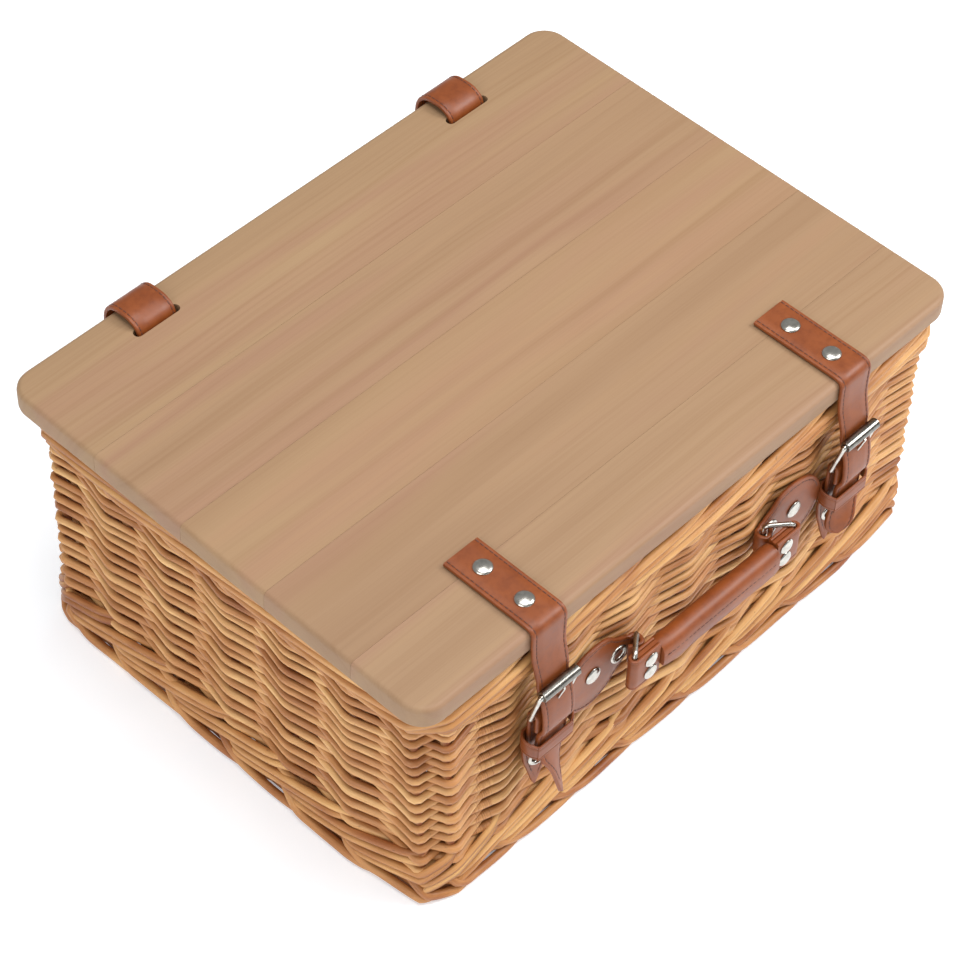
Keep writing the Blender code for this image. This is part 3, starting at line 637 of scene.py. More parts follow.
def woven_base():
    """Sticks along the base with thinner rods woven across them."""
    low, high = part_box("base_mat")
    high = high + Vector((RIGHT_SHIFT, 0, 0))
    middle = (low.z + high.z) / 2
    sticks = Bundle()
    rows = np.linspace(low.y + 9 * MM, high.y - 9 * MM, 9)
    for y in rows:
        path = np.column_stack([np.linspace(low.x, high.x, 10), np.full(10, y), np.full(10, middle)])
        sticks.rod(path, 2.9 * MM, sides=8, tone=0.3 + 0.3 * RNG.random())
    sticks_piece = sticks.build("base_sticks", STAKE_WILLOW, "basket")
    weave = Bundle()
    pitch = 4.3 * MM
    count = int((high.x - low.x - 6 * MM) / pitch)
    for k in range(count):
        x = low.x + 4 * MM + k * pitch
        points = [(x, low.y - 1 * MM, middle)]
        for j, y in enumerate(rows):
            side = 1 if (j + k) % 2 == 0 else -1
            points.append((x + 0.3 * MM * RNG.normal(), y, middle + side * 3.7 * MM))
        points.append((x, high.y + 1 * MM, middle))
        weave.rod(spline(points, 4), 2.0 * MM, sides=7, tone=0.3 + 0.45 * RNG.random(), up=X_AXIS)
    return sticks_piece, weave.build("base_weave", WILLOW, "basket")


def build_basket():
    rows = weave_rows()
    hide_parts("wicker_siding")
    border = top_border()
    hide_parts("top_border")
    foot = foot_border()
    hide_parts("foot_border")
    sticks, base = woven_base()
    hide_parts("base_mat")
    for piece in (rows, wall_stakes(), border, foot_wale(), foot, base, sticks):
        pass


# ---------------------------------------------------------------- board lid

def rounded_outline(half, radius, segments, middle):
    points = []
    for quarter, (sx, sy) in enumerate(((1, 1), (-1, 1), (-1, -1), (1, -1))):
        for k in range(segments + 1):
            t = math.radians(90 * quarter + 90 * k / segments)
            points.append((middle[0] + sx * (half[0] - radius) + radius * math.cos(t),
                           middle[1] + sy * (half[1] - radius) + radius * math.sin(t)))
    return points


def prism(outline, low, high, ease=0.0):
    bm = bmesh.new()
    face = bm.faces.new([bm.verts.new((x, y, low)) for x, y in outline])
    raised = bmesh.ops.extrude_face_region(bm, geom=[face])
    tops = [v for v in raised["geom"] if isinstance(v, bmesh.types.BMVert)]
    bmesh.ops.translate(bm, verts=tops, vec=(0, 0, high - low))
    bmesh.ops.recalc_face_normals(bm, faces=bm.faces)
    if ease:
        rims = [e for e in bm.edges if abs(e.verts[0].co.z - e.verts[1].co.z) < 1e-6]
        bmesh.ops.bevel(bm, geom=rims, offset=ease, segments=4, profile=0.5, affect="EDGES")
    return bm


LID_EASE = 3 * MM
LID_CORNER = 15 * MM
SLOT_INSET = 21.5 * MM
SLOT_HALF = (15.8 * MM, 2.9 * MM)
SLOT_CORNER = 2.7 * MM
SLOT_TOOL_SPAN = (100 * MM, 300 * MM)
BOARD_TINTS = ((0.99, 0.98, 0.98), (0.97, 0.95, 0.95), (1.02, 1.01, 0.98), (0.98, 0.96, 0.96),
               (1.0, 1.0, 0.98))


def build_lid():
    names = [f"lid_board_{k}" for k in range(1, 6)]
    boxes = [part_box(name) for name in names]
    low = Vector([min(b[0][k] for b in boxes) for k in range(3)])
    high = Vector([max(b[1][k] for b in boxes) for k in range(3)])
    middle = ((low.x + high.x) / 2, (low.y + high.y) / 2)
    outline = rounded_outline(((high.x - low.x) / 2, (high.y - low.y) / 2), LID_CORNER, 14, middle)
    joints = [(a[1].y + b[0].y) / 2 for a, b in zip(boxes, boxes[1:])]
    edges = [low.y - 1, *joints, high.y + 1]
    seam = 0.06 * MM
    for k, name in enumerate(names):
        bm = prism(outline, low.z, high.z, LID_EASE)
        for y, away in ((edges[k] + seam, -1), (edges[k + 1] - seam, 1)):
            if low.y < y < high.y:
                geom = bm.verts[:] + bm.edges[:] + bm.faces[:]
                cut = bmesh.ops.bisect_plane(bm, geom=geom, plane_co=(0, y, 0), plane_no=(0, away, 0),
                                             clear_outer=True)
                rim = [e for e in cut["geom_cut"] if isinstance(e, bmesh.types.BMEdge)]
                bmesh.ops.contextual_create(bm, geom=rim)
        material = board_wood(f"washed_pine_{k + 1}", 3.7 * k + 1.3, BOARD_TINTS[k])
        board = object_from(f"board_{k + 1}", bm, material, sharp=30)
        if k == len(names) - 1:
            cut_slots(board, high)
        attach(board, "lid")
        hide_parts(name)


def cut_slots(board, high):
    for side, _ in SIDES:
        where = (centre(f"hinge_strap_{side}").x, high.y - SLOT_INSET)
        outline = rounded_outline(SLOT_HALF, SLOT_CORNER, 5, where)
        tool = object_from(f"slot_tool_{side}", prism(outline, *SLOT_TOOL_SPAN), WILLOW, sharp=None)
        cut_away(board, tool)
    board.data.set_sharp_from_angle(angle=math.radians(30))


# ---------------------------------------------------------------- leather

KEEPER_CORNER = 5.2 * MM
GROOVE_INSET = 2.3 * MM
GROOVE_DEPTH = 0.28 * MM
STITCH_PITCH = 3.3 * MM
THREAD_RADIUS = 0.34 * MM
EYELET_OUTER = 6 * MM
EYELET_BORE = 3.5 * MM
SHANK_RADIUS = 1.5 * MM


def strap_section(half, thick, groove):
    """Cross-section of a leather strip: rounded edges, crowned faces, a stitch channel on the outer face."""
    e = min(0.42 * thick, 0.6 * half)
    t = thick / 2
    dip = GROOVE_DEPTH if groove > 1.2 * MM else 0.0
    lip = min(0.55 * MM, 0.3 * max(groove, 0.05 * MM))
    g = min(max(groove, 0.1 * MM), half - e - lip) if half - e - lip > 0.12 * MM else 0.1 * half
    lip = min(lip, 0.5 * g)
    top = [(-half + e, t), (-g - lip, t), (-g, t - dip), (-g + lip, t), (-0.5 * g + 0.2 * lip, t + 0.02 * MM),
           (0, t + 0.03 * MM), (0.5 * g - 0.2 * lip, t + 0.02 * MM), (g - lip, t), (g, t - dip), (g + lip, t),
           (half - e, t)]
    right = [(half - 0.3 * e, t - 0.3 * e), (half, t - e), (half, -t + e), (half - 0.3 * e, -t + 0.3 * e)]
    bottom = [(half - e, -t), (0.33 * half, -t), (-0.33 * half, -t), (-half + e, -t)]
    left = [(-half + 0.3 * e, -t + 0.3 * e), (-half, -t + e), (-half, t - e), (-half + 0.3 * e, t - 0.3 * e)]
    return np.array(top + right + bottom + left)


def strip_frames(path, across, closed):
    along = tangents(path, closed)
    across = np.broadcast_to(np.asarray(across, float), path.shape)
    outward = unit(np.cross(across, along))
    return across, outward


def strap(name, path, across, half, thick, body=None, grooves=None, closed=False, flip=False, stitch=True,
          twist=None):
    """A stitched leather strip along a path; returns the strip and its stitches."""
    path = np.asarray(path, float)
    half = np.broadcast_to(np.asarray(half, float), (len(path),))
    grooves = np.maximum(half - GROOVE_INSET, 0) if grooves is None else np.asarray(grooves)
    across, outward = strip_frames(path, across, closed)
    if flip:
        outward = -outward
    if twist is not None:
        turn = np.asarray(twist)[:, None]
        turned = across * np.cos(turn) + outward * np.sin(turn)
        outward = outward * np.cos(turn) - across * np.sin(turn)
        across = turned
    rings = []
    for k in range(len(path)):
        section = strap_section(half[k], thick, grooves[k])
        rings.append(path[k] + across[k] * section[:, :1] + outward[k] * section[:, 1:])
    bundle = Bundle()
    count = rings[0].shape[0]
    bundle.add(np.array(rings), closed, 0.5, np.zeros(len(path)), np.zeros(count))
    piece = bundle.build(name, LEATHER, body, sharp=38)
    if not stitch:
        return piece, None
    sewing = Bundle()
    for side in (-1, 1):
        line = path + across * (side * grooves)[:, None] + outward * (thick / 2 - 0.12 * MM)
        sew(sewing, line, grooves > 1.0 * MM, STITCH_PITCH)
    seam = sewing.build(name + "_stitches", THREAD, body)
    return piece, seam


def sew(bundle, line, usable, pitch):
    """A row of stitches along a line of points."""
    line = line[usable]
    if len(line) < 3:
        return
    steps = travelled(line)
    for k in range(int(steps[-1] / pitch)):
        marks = (k + np.array([0.12, 0.3, 0.7, 0.88])) * pitch
        path = np.column_stack([np.interp(marks, steps, line[:, c]) for c in range(3)])
        bundle.rod(path, THREAD_RADIUS * np.array([0.45, 1, 1, 0.45]), sides=6, tone=0.5, up=(0.2, 0.4, 1.0))


def arc_points(middle, radius, start, end, count):
    angles = np.radians(np.linspace(start, end, count))
    return [(middle[0] + radius * math.cos(a), middle[1] + radius * math.sin(a)) for a in angles]


def dense(points, step):
    """A fine smooth path through a few points, in any number of dimensions."""
    fine = spline(points, 14)
    length = travelled(fine[:, :3])
    count = max(4, int(length[-1] / step))
    marks = np.linspace(0, length[-1], count)
    return np.column_stack([np.interp(marks, length, fine[:, c]) for c in range(fine.shape[1])])


def tip_profile(path, tip, full, round_off):
    """Half widths that run to a pointed, rounded end over the last stretch."""
    steps = travelled(path)
    left = np.clip((steps[-1] - steps) / tip, 0.0, 1.0)
    blunt = 0.25 * MM
    return full * left ** round_off * (0.35 + 0.65 * left) + blunt


def round_end(path, radius, full):
    """Half widths that close in a round end."""
    steps = travelled(path)
    left = np.minimum(steps[-1] - steps, radius)
    return np.maximum(full - radius + np.sqrt(np.maximum(radius ** 2 - (radius - left) ** 2, 0)), 0.3 * MM)


def dome(radius, height, shank, length):
    cap = [(radius * math.sin(math.radians(a)), height * math.cos(math.radians(a))) for a in range(0, 85, 12)]
    return cap + [(radius, 0.10 * height), (radius * 0.985, 0), (shank, -0.05 * MM), (shank, -length),
                  (0, -length)]


def eyelet_ring(outer, bore, depth):
    middle, wide = (outer + bore) / 2, (outer - bore) / 2
    rim = [(middle + wide * math.cos(math.radians(a)), 0.9 * wide * math.sin(math.radians(a)))
           for a in range(0, 181, 20)]
    return rim + [(bore, -depth), (bore + 0.5 * MM, -depth), (bore + 0.6 * MM, -0.1 * MM)]


def stud(node, axis, body, radius, height=1.7 * MM):
    """A domed rivet head standing for a CAD rivet: its seat is read from the node's box."""
    low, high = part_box(node)
    axis = Vector(axis)
    middle = (low + high) / 2
    tip = Vector([high[k] if axis[k] > 0 else low[k] if axis[k] < 0 else middle[k] for k in range(3)])
    seat = tip - axis * height
    piece = lathe(node + "_head", dome(radius, height, SHANK_RADIUS, 6 * MM), seat, axis, NICKEL)
    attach(piece, body)
    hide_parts(node)


# ---------------------------------------------------------------- straps over the lid's front edge

LONG_TAIL = (0.8 * MM, -0.58)               # a tail's sideways slide and twist (radians) at its tip
SHORT_TAIL = (-14.0 * MM, 0.45)


def closure_strap(side, sign):
    """Over the lid's top, down its front edge, behind the roller and out through the keeper."""
    on_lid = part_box(f"lid_strap_{side}")
    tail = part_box(f"strap_tail_{side}")
    x = centre(f"lid_strap_{side}").x
    thick = 2.6 * MM
    top = on_lid[1].z - thick / 2
    front = on_lid[0].y + thick / 2
    roller = joint_at(f"roller_{side}_spin")
    half = (on_lid[1].x - on_lid[0].x) / 2
    bend = 4.5 * MM
    points = [(on_lid[1].y, top), (on_lid[1].y - 20 * MM, top), (on_lid[1].y - 40 * MM, top),
              (front + bend + 5 * MM, top + 0.1 * MM)]
    points += arc_points((front + bend, top - bend), bend, 90, 180, 5)
    points += [(front - 0.2 * MM, 172 * MM), (front - 1.0 * MM, 164 * MM), (roller.y + 5.3 * MM, 151.5 * MM),
               (roller.y + 4.8 * MM, 145.2 * MM), (roller.y + 3.1 * MM, 139.5 * MM),
               (roller.y + 0.6 * MM, 132 * MM), (roller.y - 0.6 * MM, 124 * MM),
               (roller.y - 0.6 * MM, 115 * MM), (roller.y + 2.6 * MM, 108.5 * MM),
               (roller.y + 3.5 * MM, 101 * MM), (roller.y + 3.2 * MM, 94 * MM),
               (roller.y + 1.2 * MM, 84 * MM)]
    if sign < 0:
        points += [(roller.y - 2.4 * MM, 71 * MM), (tail[0].y + 1.4 * MM, tail[0].z)]
        slide, turn = LONG_TAIL
    else:
        points += [(roller.y - 0.6 * MM, 78 * MM), (roller.y - 1.6 * MM, 73 * MM)]
        slide, turn = SHORT_TAIL
    profile = dense(points, 1.5 * MM)
    shift = np.interp(profile[:, 1], [58 * MM, 96 * MM], [slide, 0.0])
    path = np.column_stack([x + shift, profile[:, 0], profile[:, 1]])
    full = np.interp(profile[:, 1], [80 * MM, 98 * MM, 145 * MM, 178 * MM],
                     [half - 2.6 * MM, half - 1.3 * MM, half - 1.3 * MM, half])
    widths = tip_profile(path, 30 * MM, full, 0.32) if sign < 0 else round_end(path, 10 * MM, full)
    twist = np.interp(profile[:, 1], [76 * MM, 97 * MM], [turn, 0.0])
    piece, seam = strap(f"closure_strap_{side}", path, X_AXIS, widths, thick, flip=True, twist=twist)
    for part in (piece, seam):
        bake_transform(part)
    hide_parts(f"lid_strap_{side}", f"strap_tail_{side}")
    for place in ("front", "rear"):
        stud(f"lid_stud_{side}_{place}", Z_AXIS, "lid", radius=5.3 * MM)


# ---------------------------------------------------------------- buckles

BUCKLE_WIRE = 1.4 * MM


def wire_loop(name, points, radius, body, slot_node, fillet=2.2 * MM):
    """A closed loop of bent wire with rounded corners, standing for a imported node."""
    pts = [np.array(p, float) for p in points]
    path = []
    for k, here in enumerate(pts):
        before, after = pts[k - 1], pts[(k + 1) % len(pts)]
        start = here + unit(before - here) * fillet
        end = here + unit(after - here) * fillet
        for t in np.linspace(0, 1, 6):
            path.append((1 - t) ** 2 * start + 2 * t * (1 - t) * here + t ** 2 * end)
        if np.linalg.norm(after - here) > 3 * fillet:
            path.append((end + after + unit(here - after) * fillet) / 2)
    bundle = Bundle()
    plane = unit(np.cross(pts[1] - pts[0], pts[2] - pts[1]))
    bundle.rod(path, radius, sides=14, closed=True, up=plane)
    piece = bundle.build(name, NICKEL, body)
    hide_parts(slot_node)


def buckle(side):
    bar = joint_at(f"buckle_{side}_swing")
    roller = joint_at(f"roller_{side}_spin")
    low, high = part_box(f"buckle_frame_{side}")
    half = (high.x - low.x) / 2 - 1.2 * MM
    corners = [(bar.x - half, roller.y, roller.z), (bar.x + half, roller.y, roller.z),
               (bar.x + half, bar.y, bar.z), (bar.x - half, bar.y, bar.z)]
    wire_loop(f"buckle_{side}_wire", corners, BUCKLE_WIRE, f"buckle_{side}", f"buckle_frame_{side}")
    low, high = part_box(f"buckle_roller_{side}")
    reach = (high.x - low.x) / 2
    outer, bore, lip = 3.15 * MM, 1.75 * MM, 0.3 * MM
    profile = [(outer - lip, reach), (outer, reach - lip), (outer, reach * 0.5), (outer, 0),
               (outer, -reach * 0.5), (outer, -reach + lip), (outer - lip, -reach), (bore, -reach),
               (bore, 0), (bore, reach)]
    piece = lathe(f"buckle_{side}_roller", profile, roller, X_AXIS, ROLLER_NICKEL, closed=True)
    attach(piece, f"roller_{side}")
    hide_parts(f"buckle_roller_{side}")
    eye = arc_points((bar.y, bar.z), 2.5 * MM, -130, 150, 16)
    tip = (roller.y - 3.6 * MM, roller.z - 1.0 * MM)
    halfway = ((eye[-1][0] + tip[0]) / 2, (eye[-1][1] + tip[1]) / 2)
    points = [*eye, halfway, tip]
    path = np.array([(bar.x, y, z) for y, z in points])
    prong = Bundle()
    wire = spline(path, 3)
    prong.rod(wire, np.interp(np.arange(len(wire)), [len(wire) - 7, len(wire) - 1], [0.95 * MM, 0.6 * MM]),
              sides=10, up=X_AXIS)
    piece = prong.build(f"buckle_{side}_tongue", NICKEL, f"prong_{side}")
    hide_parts(f"buckle_prong_{side}")


def anchor(side):
    """The short strap that holds the buckle: folded round the bar, pointed at its lower end."""
    bar = joint_at(f"buckle_{side}_swing")
    low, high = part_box(f"anchor_strap_{side}")
    thick = 2.2 * MM
    turn = BUCKLE_WIRE + 0.1 * MM + thick / 2
    wall = high.y - thick / 2
    half = (high.x - low.x) / 2
    points = [(bar.y - turn, 112 * MM), (bar.y - turn, 117 * MM)]
    points += arc_points((bar.y, bar.z), turn, 180, 0, 9)
    points += [(bar.y + turn, 106 * MM), (bar.y + turn, 97 * MM), (wall, 88 * MM), (wall, 74 * MM),
               (wall, 62 * MM), (wall - 0.4 * MM, low.z)]
    profile = dense(points, 1.4 * MM)
    painted_underside_shade = profile[:, 0] > wall - 1 * MM
    drop = np.where(painted_underside_shade, np.interp(profile[:, 1], [low.z, 92 * MM], [1.0, 0.0]), 0.0)
    path = np.column_stack([bar.x - 1.5 * MM * drop, profile])
    widths = tip_profile(path, 24 * MM, half - 3.2 * MM * np.minimum(drop * 2.5, 1.0), 0.4)
    piece, _ = strap(f"anchor_{side}", path, X_AXIS, widths, thick, "basket", flip=True, twist=0.30 * drop)
    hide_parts(f"anchor_strap_{side}")
    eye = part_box(f"anchor_eyelet_{side}")
    middle = (eye[0] + eye[1]) / 2
    punch(piece, Vector((middle.x - 1 * MM, middle.y, middle.z)), EYELET_BORE + 0.6 * MM)
    ring = lathe(f"anchor_{side}_eyelet", eyelet_ring(EYELET_OUTER, EYELET_BORE, 3 * MM),
                 (middle.x - 1 * MM, eye[0].y + 1.1 * MM, middle.z), (-0.2, -1, 0), NICKEL, closed=True)
    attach(ring, "basket")
    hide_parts(f"anchor_eyelet_{side}")


def punch(piece, place, radius):
    """A round hole through a piece from front to back."""
    depth = 8 * MM
    profile = [(0, depth), (radius, depth), (radius, -depth), (0, -depth)]
    cut_away(piece, lathe("punch", profile, place, Y_AXIS, LEATHER))


def keeper(side):
    """A loose loop round the anchor and the tail; its front hangs a little lower than its back."""
    low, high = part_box(f"keeper_loop_{side}")
    middle = (low + high) / 2
    thick = 1.5 * MM
    half = (high.x - low.x) / 2 - thick / 2
    deep = (high.y - low.y) / 2 - thick / 2
    sag, slope = 6.5 * MM, 0.8 * MM
    ring = []
    for x, y in rounded_outline((half, deep), KEEPER_CORNER, 6, (middle.x, middle.y)):
        frontness = (middle.y - y) / deep
        hang = sag * max(frontness, 0.0) * (1 - ((x - middle.x) / half) ** 2)
        ring.append((x, y, middle.z - slope * frontness - hang))
    ring = spline(ring, 3, closed=True)
    piece, _ = strap(f"keeper_{side}", ring, Z_AXIS, 5.3 * MM, thick, "basket", closed=True, stitch=False,
                     flip=True, grooves=np.full(len(ring), 3.6 * MM))
    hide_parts(f"keeper_loop_{side}")


# ---------------------------------------------------------------- hinges

RIVET_LEVEL = 138 * MM                      # the rivet through both legs of the strap and the wall


def hinge(side):
    """A strap through the lid's slot, over its back edge and down both faces of the back wall."""
    low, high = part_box(f"hinge_strap_{side}")
    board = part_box("lid_board_5")
    x = (low.x + high.x) / 2
    half = (high.x - low.x) / 2
    thick = 2.5 * MM
    back = board[1].y + 0.3 * MM + thick / 2
    top = board[1].z
    slot = board[1].y - SLOT_INSET
    wall_out = siding_high.y + thick / 2 + 0.6 * MM
    wall_in = siding_high.y - 2 * (WALL_REACH + WALL_ROD) - thick / 2 - 0.4 * MM
    points = [(wall_out, 126 * MM), (wall_out, RIVET_LEVEL), (wall_out + 2 * MM, 148 * MM),
              (back + 2 * MM, 160 * MM), (back + 4 * MM, 170 * MM), (back + 4 * MM, 178 * MM),
              (back + 2.6 * MM, 184 * MM),
              (back - 1 * MM, 188.4 * MM), (back - 6 * MM, 190.2 * MM), (back - 14 * MM, 190.4 * MM),
              (slot + 5 * MM, top + 3.2 * MM), (slot + 1.6 * MM, top + 0.6 * MM), (slot, top - 4 * MM),
              (slot, top - 12 * MM), (slot + 0.4 * MM, 165 * MM), (wall_in - 1 * MM, 156 * MM),
              (wall_in, 148 * MM), (wall_in, RIVET_LEVEL)]
    profile = dense(points, 1.4 * MM)
    path = np.column_stack([np.full(len(profile), x), profile])
    piece, seam = strap(f"hinge_{side}", path, X_AXIS, half, thick, flip=True)
    for part in (piece, seam):
        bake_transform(part)
    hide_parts(f"hinge_strap_{side}")
    rivet = centre(f"hinge_rivet_{side}")
    head = lathe(f"hinge_{side}_rivet", dome(4.6 * MM, 1.5 * MM, SHANK_RADIUS, 20 * MM),
                 (rivet.x, wall_out + thick / 2, RIVET_LEVEL), Y_AXIS, NICKEL)
    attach(head, "basket")
    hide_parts(f"hinge_rivet_{side}")


# ---------------------------------------------------------------- handle

RING_WIRE_CAD = 1.1 * MM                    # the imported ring's wire radius; the seen wire is stouter
TAB_DROP = 2.5 * MM                         # the tab's round end hangs this much below the ring's middle


def handle_tab(side, sign):
    """A drop-shaped plate on the wall; its narrow end is folded round the ring's inner bar."""
    low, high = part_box(f"handle_tab_{side}")
    pivot = joint_at("handle_tilt")
    eyelet = centre(f"tab_eyelet_{side}")
    ring_low, ring_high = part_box(f"handle_ring_{side}")
    ring_x = min(abs(ring_low.x), abs(ring_high.x)) + RING_WIRE_CAD
    lobe = (high.z - low.z) / 2 + 1.6 * MM
    outer = max(abs(low.x), abs(high.x)) + 2.4 * MM
    hub = outer - lobe
    face = high.y - 1.5 * MM
    fold_x, fold_y = 3.0 * MM, 3.7 * MM
    tongue = 7.4 * MM
    angles = np.radians(np.linspace(0, 122, 30))
    xs = hub + lobe * np.cos(angles)
    hw = lobe * np.sin(angles) + 0.3 * MM
    inset = lobe - GROOVE_INSET
    neck = spline([(xs[-2], hw[-2]), (xs[-1], hw[-1]), (62.5 * MM, 14.6 * MM), (58.5 * MM, 11.4 * MM),
                   (55.5 * MM, 9.2 * MM), (53.0 * MM, 8.0 * MM)], 5)[6:]
    fold = [(ring_x + fold_x * math.cos(a), pivot.y + fold_y * math.sin(a))
            for a in np.radians(np.linspace(70, 290, 14))]
    flat_x = np.concatenate([xs, neck[:, 0]])
    flat_w = np.concatenate([hw, neck[:, 1]])
    px = np.concatenate([flat_x, [p[0] for p in fold], [ring_x + 4 * MM, ring_x + 6 * MM]])
    py = np.concatenate([np.full(len(flat_x), face), [p[1] for p in fold],
                         [pivot.y - 2.2 * MM, pivot.y - 0.2 * MM]])
    pw = np.concatenate([flat_w, np.full(len(fold), tongue), [tongue - 0.2 * MM, tongue - 0.8 * MM]])
    grooves = np.maximum(pw - GROOVE_INSET, 0)
    tip = flat_x > hub
    grooves[:len(flat_x)][tip] = np.sqrt(np.maximum(inset ** 2 - (flat_x[tip] - hub) ** 2, 0))
    level = pivot.z - np.interp(px, [ring_x + 6 * MM, hub], [0.0, TAB_DROP])
    path = np.column_stack([sign * px, py, level])
    piece, _ = strap(f"tab_{side}", path, Z_AXIS, pw, 2.6 * MM, "basket", grooves=grooves, flip=sign < 0)
    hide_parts(f"handle_tab_{side}")
    stud(f"tab_rivet_{side}", (0, -1, 0), "basket", radius=5.3 * MM)
    ring = lathe(f"tab_{side}_eyelet", eyelet_ring(EYELET_OUTER, EYELET_BORE, 3 * MM),
                 (eyelet.x, face - 1.3 * MM, eyelet.z), (0, -1, 0), NICKEL, closed=True)
    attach(ring, "basket")
    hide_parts(f"tab_eyelet_{side}")


def handle_ring(side, sign):
    low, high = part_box(f"handle_ring_{side}")
    inner, outer = (high.x, low.x) if sign < 0 else (low.x, high.x)
    inner += sign * RING_WIRE_CAD
    outer -= sign * RING_WIRE_CAD
    back, front = high.y - RING_WIRE_CAD, low.y + RING_WIRE_CAD
    bottom, top = low.z + RING_WIRE_CAD, high.z - RING_WIRE_CAD
    corners = [(inner, back, bottom), (inner, back, top), (outer, front, top), (outer, front, bottom)]
    wire_loop(f"ring_{side}", corners, 1.5 * MM, "handle", f"handle_ring_{side}", fillet=3.2 * MM)


def handle_end(side, sign):
    low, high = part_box(f"handle_end_{side}")
    thick = 2.0 * MM
    turn = (high.y - low.y) / 2 - thick / 2
    middle = (high.y + low.y) / 2
    inner = min(abs(low.x), abs(high.x))
    outer = max(abs(low.x), abs(high.x)) - turn - thick / 2
    points = [(inner, middle - turn), ((inner + outer) / 2, middle - turn)]
    points += arc_points((outer, middle), turn, -90, 90, 9)
    points += [((inner + outer) / 2, middle + turn), (inner, middle + turn)]
    profile = dense(points, 1.2 * MM)
    path = np.column_stack([sign * profile[:, 0], profile[:, 1], np.full(len(profile), (low.z + high.z) / 2)])
    half = (high.z - low.z) / 2 + 0.5 * MM
    piece, _ = strap(f"handle_end_{side}_wrap", path, Z_AXIS, half, thick, "handle", flip=sign > 0,
                     stitch=False, grooves=np.full(len(path), half - 1.8 * MM))
    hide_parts(f"handle_end_{side}")
    for place in ("upper", "lower"):
        stud(f"handle_rivet_{side}_{place}", (0, -1, 0), "handle", radius=4.7 * MM, height=1.5 * MM)


def grip_section(radius, flange, drop):
    """A roll with two layers of leather hanging flush from its front, parted by a fine line below."""
    start = math.degrees(math.acos((flange - radius) / radius))
    front, rear, parting = -radius - 0.1 * MM, flange - radius, flange / 2 - radius
    section = arc_points((0, 0), radius, 360 - start + 5, 540, 36)
    section += [(front, -0.4 * MM), (front + 0.18 * MM, -1.1 * MM), (front, -1.8 * MM),
                (front, -drop + 0.9 * MM), (front + 0.3 * MM, -drop + 0.3 * MM), (front + 0.9 * MM, -drop),
                (parting - 0.25 * MM, -drop), (parting, -drop + 0.7 * MM), (parting + 0.25 * MM, -drop),
                (rear - 0.8 * MM, -drop), (rear - 0.2 * MM, -drop + 0.4 * MM), (rear, -drop + 1.2 * MM),
                (rear, -radius - 0.4 * MM)]
    return np.array(section)


def handle_grip():
    """A rolled leather sleeve whose seam hangs from its front and is stitched through."""
    low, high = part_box("handle_grip")
    middle_y = (low.y + high.y) / 2
    radius = (high.y - low.y) / 2
    roll_z = high.z - radius + 1.4 * MM
    length = (high.x - low.x) / 2
    flange = 4.4 * MM
    section = grip_section(radius, flange, 10.2 * MM)
    stations = np.linspace(-length, length, 40)
    rings = []
    own = np.random.default_rng(3)
    sag = own.normal(size=8) * 0.18 * MM
    for x in stations:
        share = abs(x) / length
        pinch = 1 - 0.07 * max(0.0, (share - 0.9) / 0.1) ** 2
        wave = np.interp((x + length) / (2 * length) * 7, range(8), sag)
        y = middle_y + section[:, 0] * pinch + wave * 0.6
        z = roll_z + section[:, 1] * pinch + wave * np.where(section[:, 1] < -radius * 0.6, 1.0, 0.0)
        rings.append(np.column_stack([np.full(len(section), x), y, z]))
    bundle = Bundle()
    bundle.add(np.array(rings), False, 0.5, stations, np.zeros(len(section)))
    piece = bundle.build("grip_roll", LEATHER, "handle", sharp=42)
    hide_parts("handle_grip")
    sewing = Bundle()
    xs = np.linspace(-length + 2 * MM, length - 2 * MM, 60)
    for y in (middle_y - radius - 0.05 * MM, middle_y - radius + flange):
        level = roll_z - (1.1 * MM if y < middle_y - radius else 8.2 * MM)
        sew(sewing, np.column_stack([xs, np.full(60, y), np.full(60, level)]), np.ones(60, bool), 3.2 * MM)
    seam = sewing.build("grip_stitches", THREAD, "handle")
    core = frame["nodes"]["handle_core"]
    core.data.materials.clear()
    core.data.materials.append(LEATHER)


# ---------------------------------------------------------------- studio

LIGHT_AIM = (0, 0, 80 * MM)
FLOOR_HALF = 4.0
FLOOR_SPAN = (-20 * MM, -0.2 * MM)          # its top lies just under the basket
WORLD_STRENGTH = 0.36


def area_light(name, place, size, power):
    """A square softbox aimed at the middle of the basket."""
    data = bpy.data.lights.new(name, "AREA")
    data.size = size
    data.energy = power
    lamp = bpy.data.objects.new(name, data)
    lamp.location = place
    lamp.rotation_euler = (Vector(LIGHT_AIM) - Vector(place)).to_track_quat("-Z", "Y").to_euler()
    bpy.context.scene.collection.objects.link(lamp)


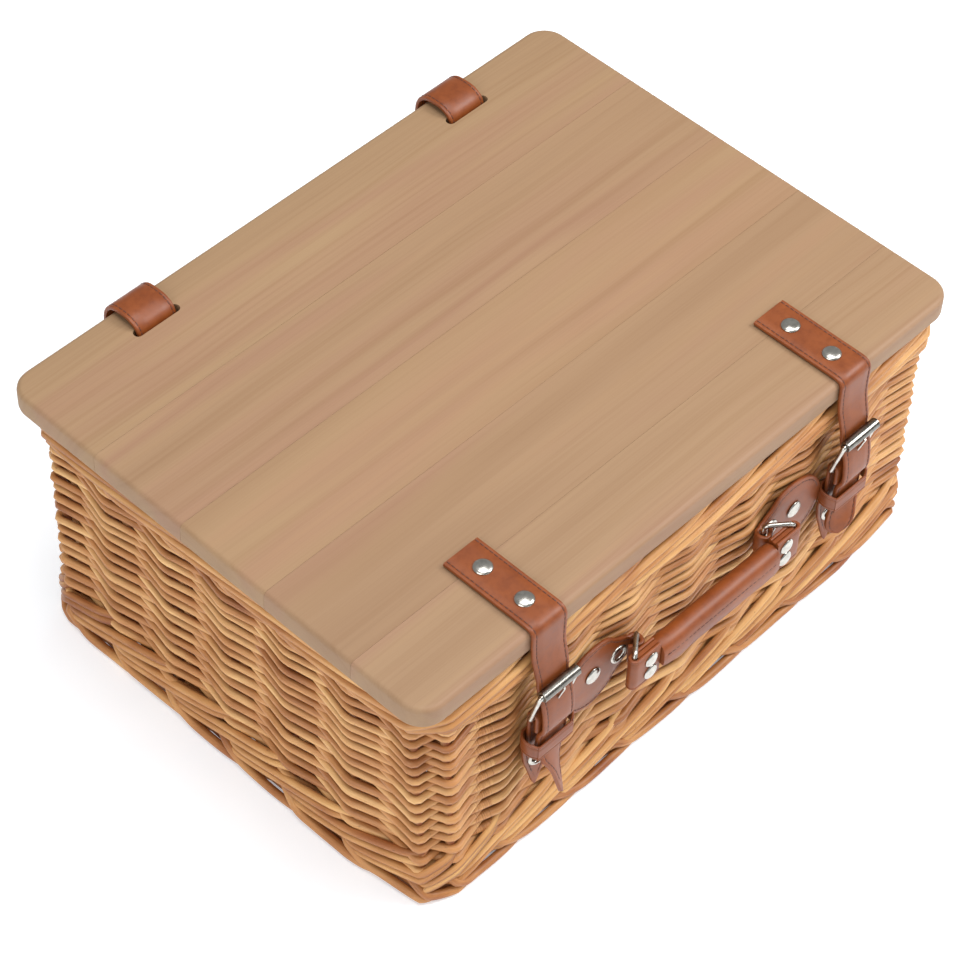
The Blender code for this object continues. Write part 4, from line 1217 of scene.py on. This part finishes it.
def studio():
    outline = [(sx * FLOOR_HALF, sy * FLOOR_HALF) for sx, sy in ((-1, -1), (1, -1), (1, 1), (-1, 1))]
    floor = object_from("floor", prism(outline, *FLOOR_SPAN), WILLOW, sharp=None)
    n = Nodes("studio_paper")
    speck = n.noise(n.scaled(n.object_space(), (40, 40, 40)), detail=2)
    colour = n.ramp(speck, [(0.3, (0.79, 0.80, 0.81)), (0.7, (0.81, 0.82, 0.83))])
    floor.data.materials[0] = n.finish(colour, 0.9, Specular_IOR_Level=0.1, Emission_Strength=1.0,
                                       Emission_Color=(0.33, 0.35, 0.37, 1.0))
    world = bpy.data.worlds.new("studio")
    world.use_nodes = True
    background = world.node_tree.nodes["Background"]
    background.inputs["Color"].default_value = (1, 1, 1, 1)
    background.inputs["Strength"].default_value = WORLD_STRENGTH
    bpy.context.scene.world = world
    area_light("key", (1.3, -1.1, 1.6), 0.9, 34)
    area_light("top", (0.0, -0.2, 2.2), 1.5, 32)
    area_light("fill", (-1.7, -0.4, 1.0), 1.4, 15)


def camera():
    """A long lens from the front left, looking down on the lid."""
    data = bpy.data.cameras.new("camera")
    data.sensor_width = 36.0
    focal_share = 3.2318                    # focal length over the picture's width
    data.lens = data.sensor_width * focal_share
    data.clip_start, data.clip_end = 0.05, 50
    shot = bpy.data.objects.new("camera", data)
    azimuth, elevation, roll = math.radians(-47.857), math.radians(49.172), math.radians(2.5)
    back = Vector((math.sin(azimuth) * math.cos(elevation), -math.cos(azimuth) * math.cos(elevation),
                   math.sin(elevation)))
    level_right = Vector(Z_AXIS).cross(back).normalized()
    level_up = back.cross(level_right)
    right = level_right * math.cos(roll) + level_up * math.sin(roll)
    up = level_up * math.cos(roll) - level_right * math.sin(roll)
    aim = Vector((0, 2 * MM, 186 * MM))     # the middle of the lid's top
    distance = 1.6447
    aside, painted_underside_shade = 5.0 * MM, 76.4 * MM      # the picture's middle lies right of the aim and under it
    place = aim + back * distance - right * aside - up * painted_underside_shade
    shot.matrix_world = Matrix.Translation(place) @ Matrix((right, up, back)).transposed().to_4x4()
    bpy.context.scene.collection.objects.link(shot)
    bpy.context.scene.camera = shot
    bpy.context.scene.view_settings.view_transform = "Standard"


camera()
studio()
build_basket()
build_lid()
for side, sign in SIDES:
    hinge(side)
    closure_strap(side, sign)
    anchor(side)
    keeper(side)
    buckle(side)
    handle_tab(side, sign)
    handle_ring(side, sign)
    handle_end(side, sign)
handle_grip()
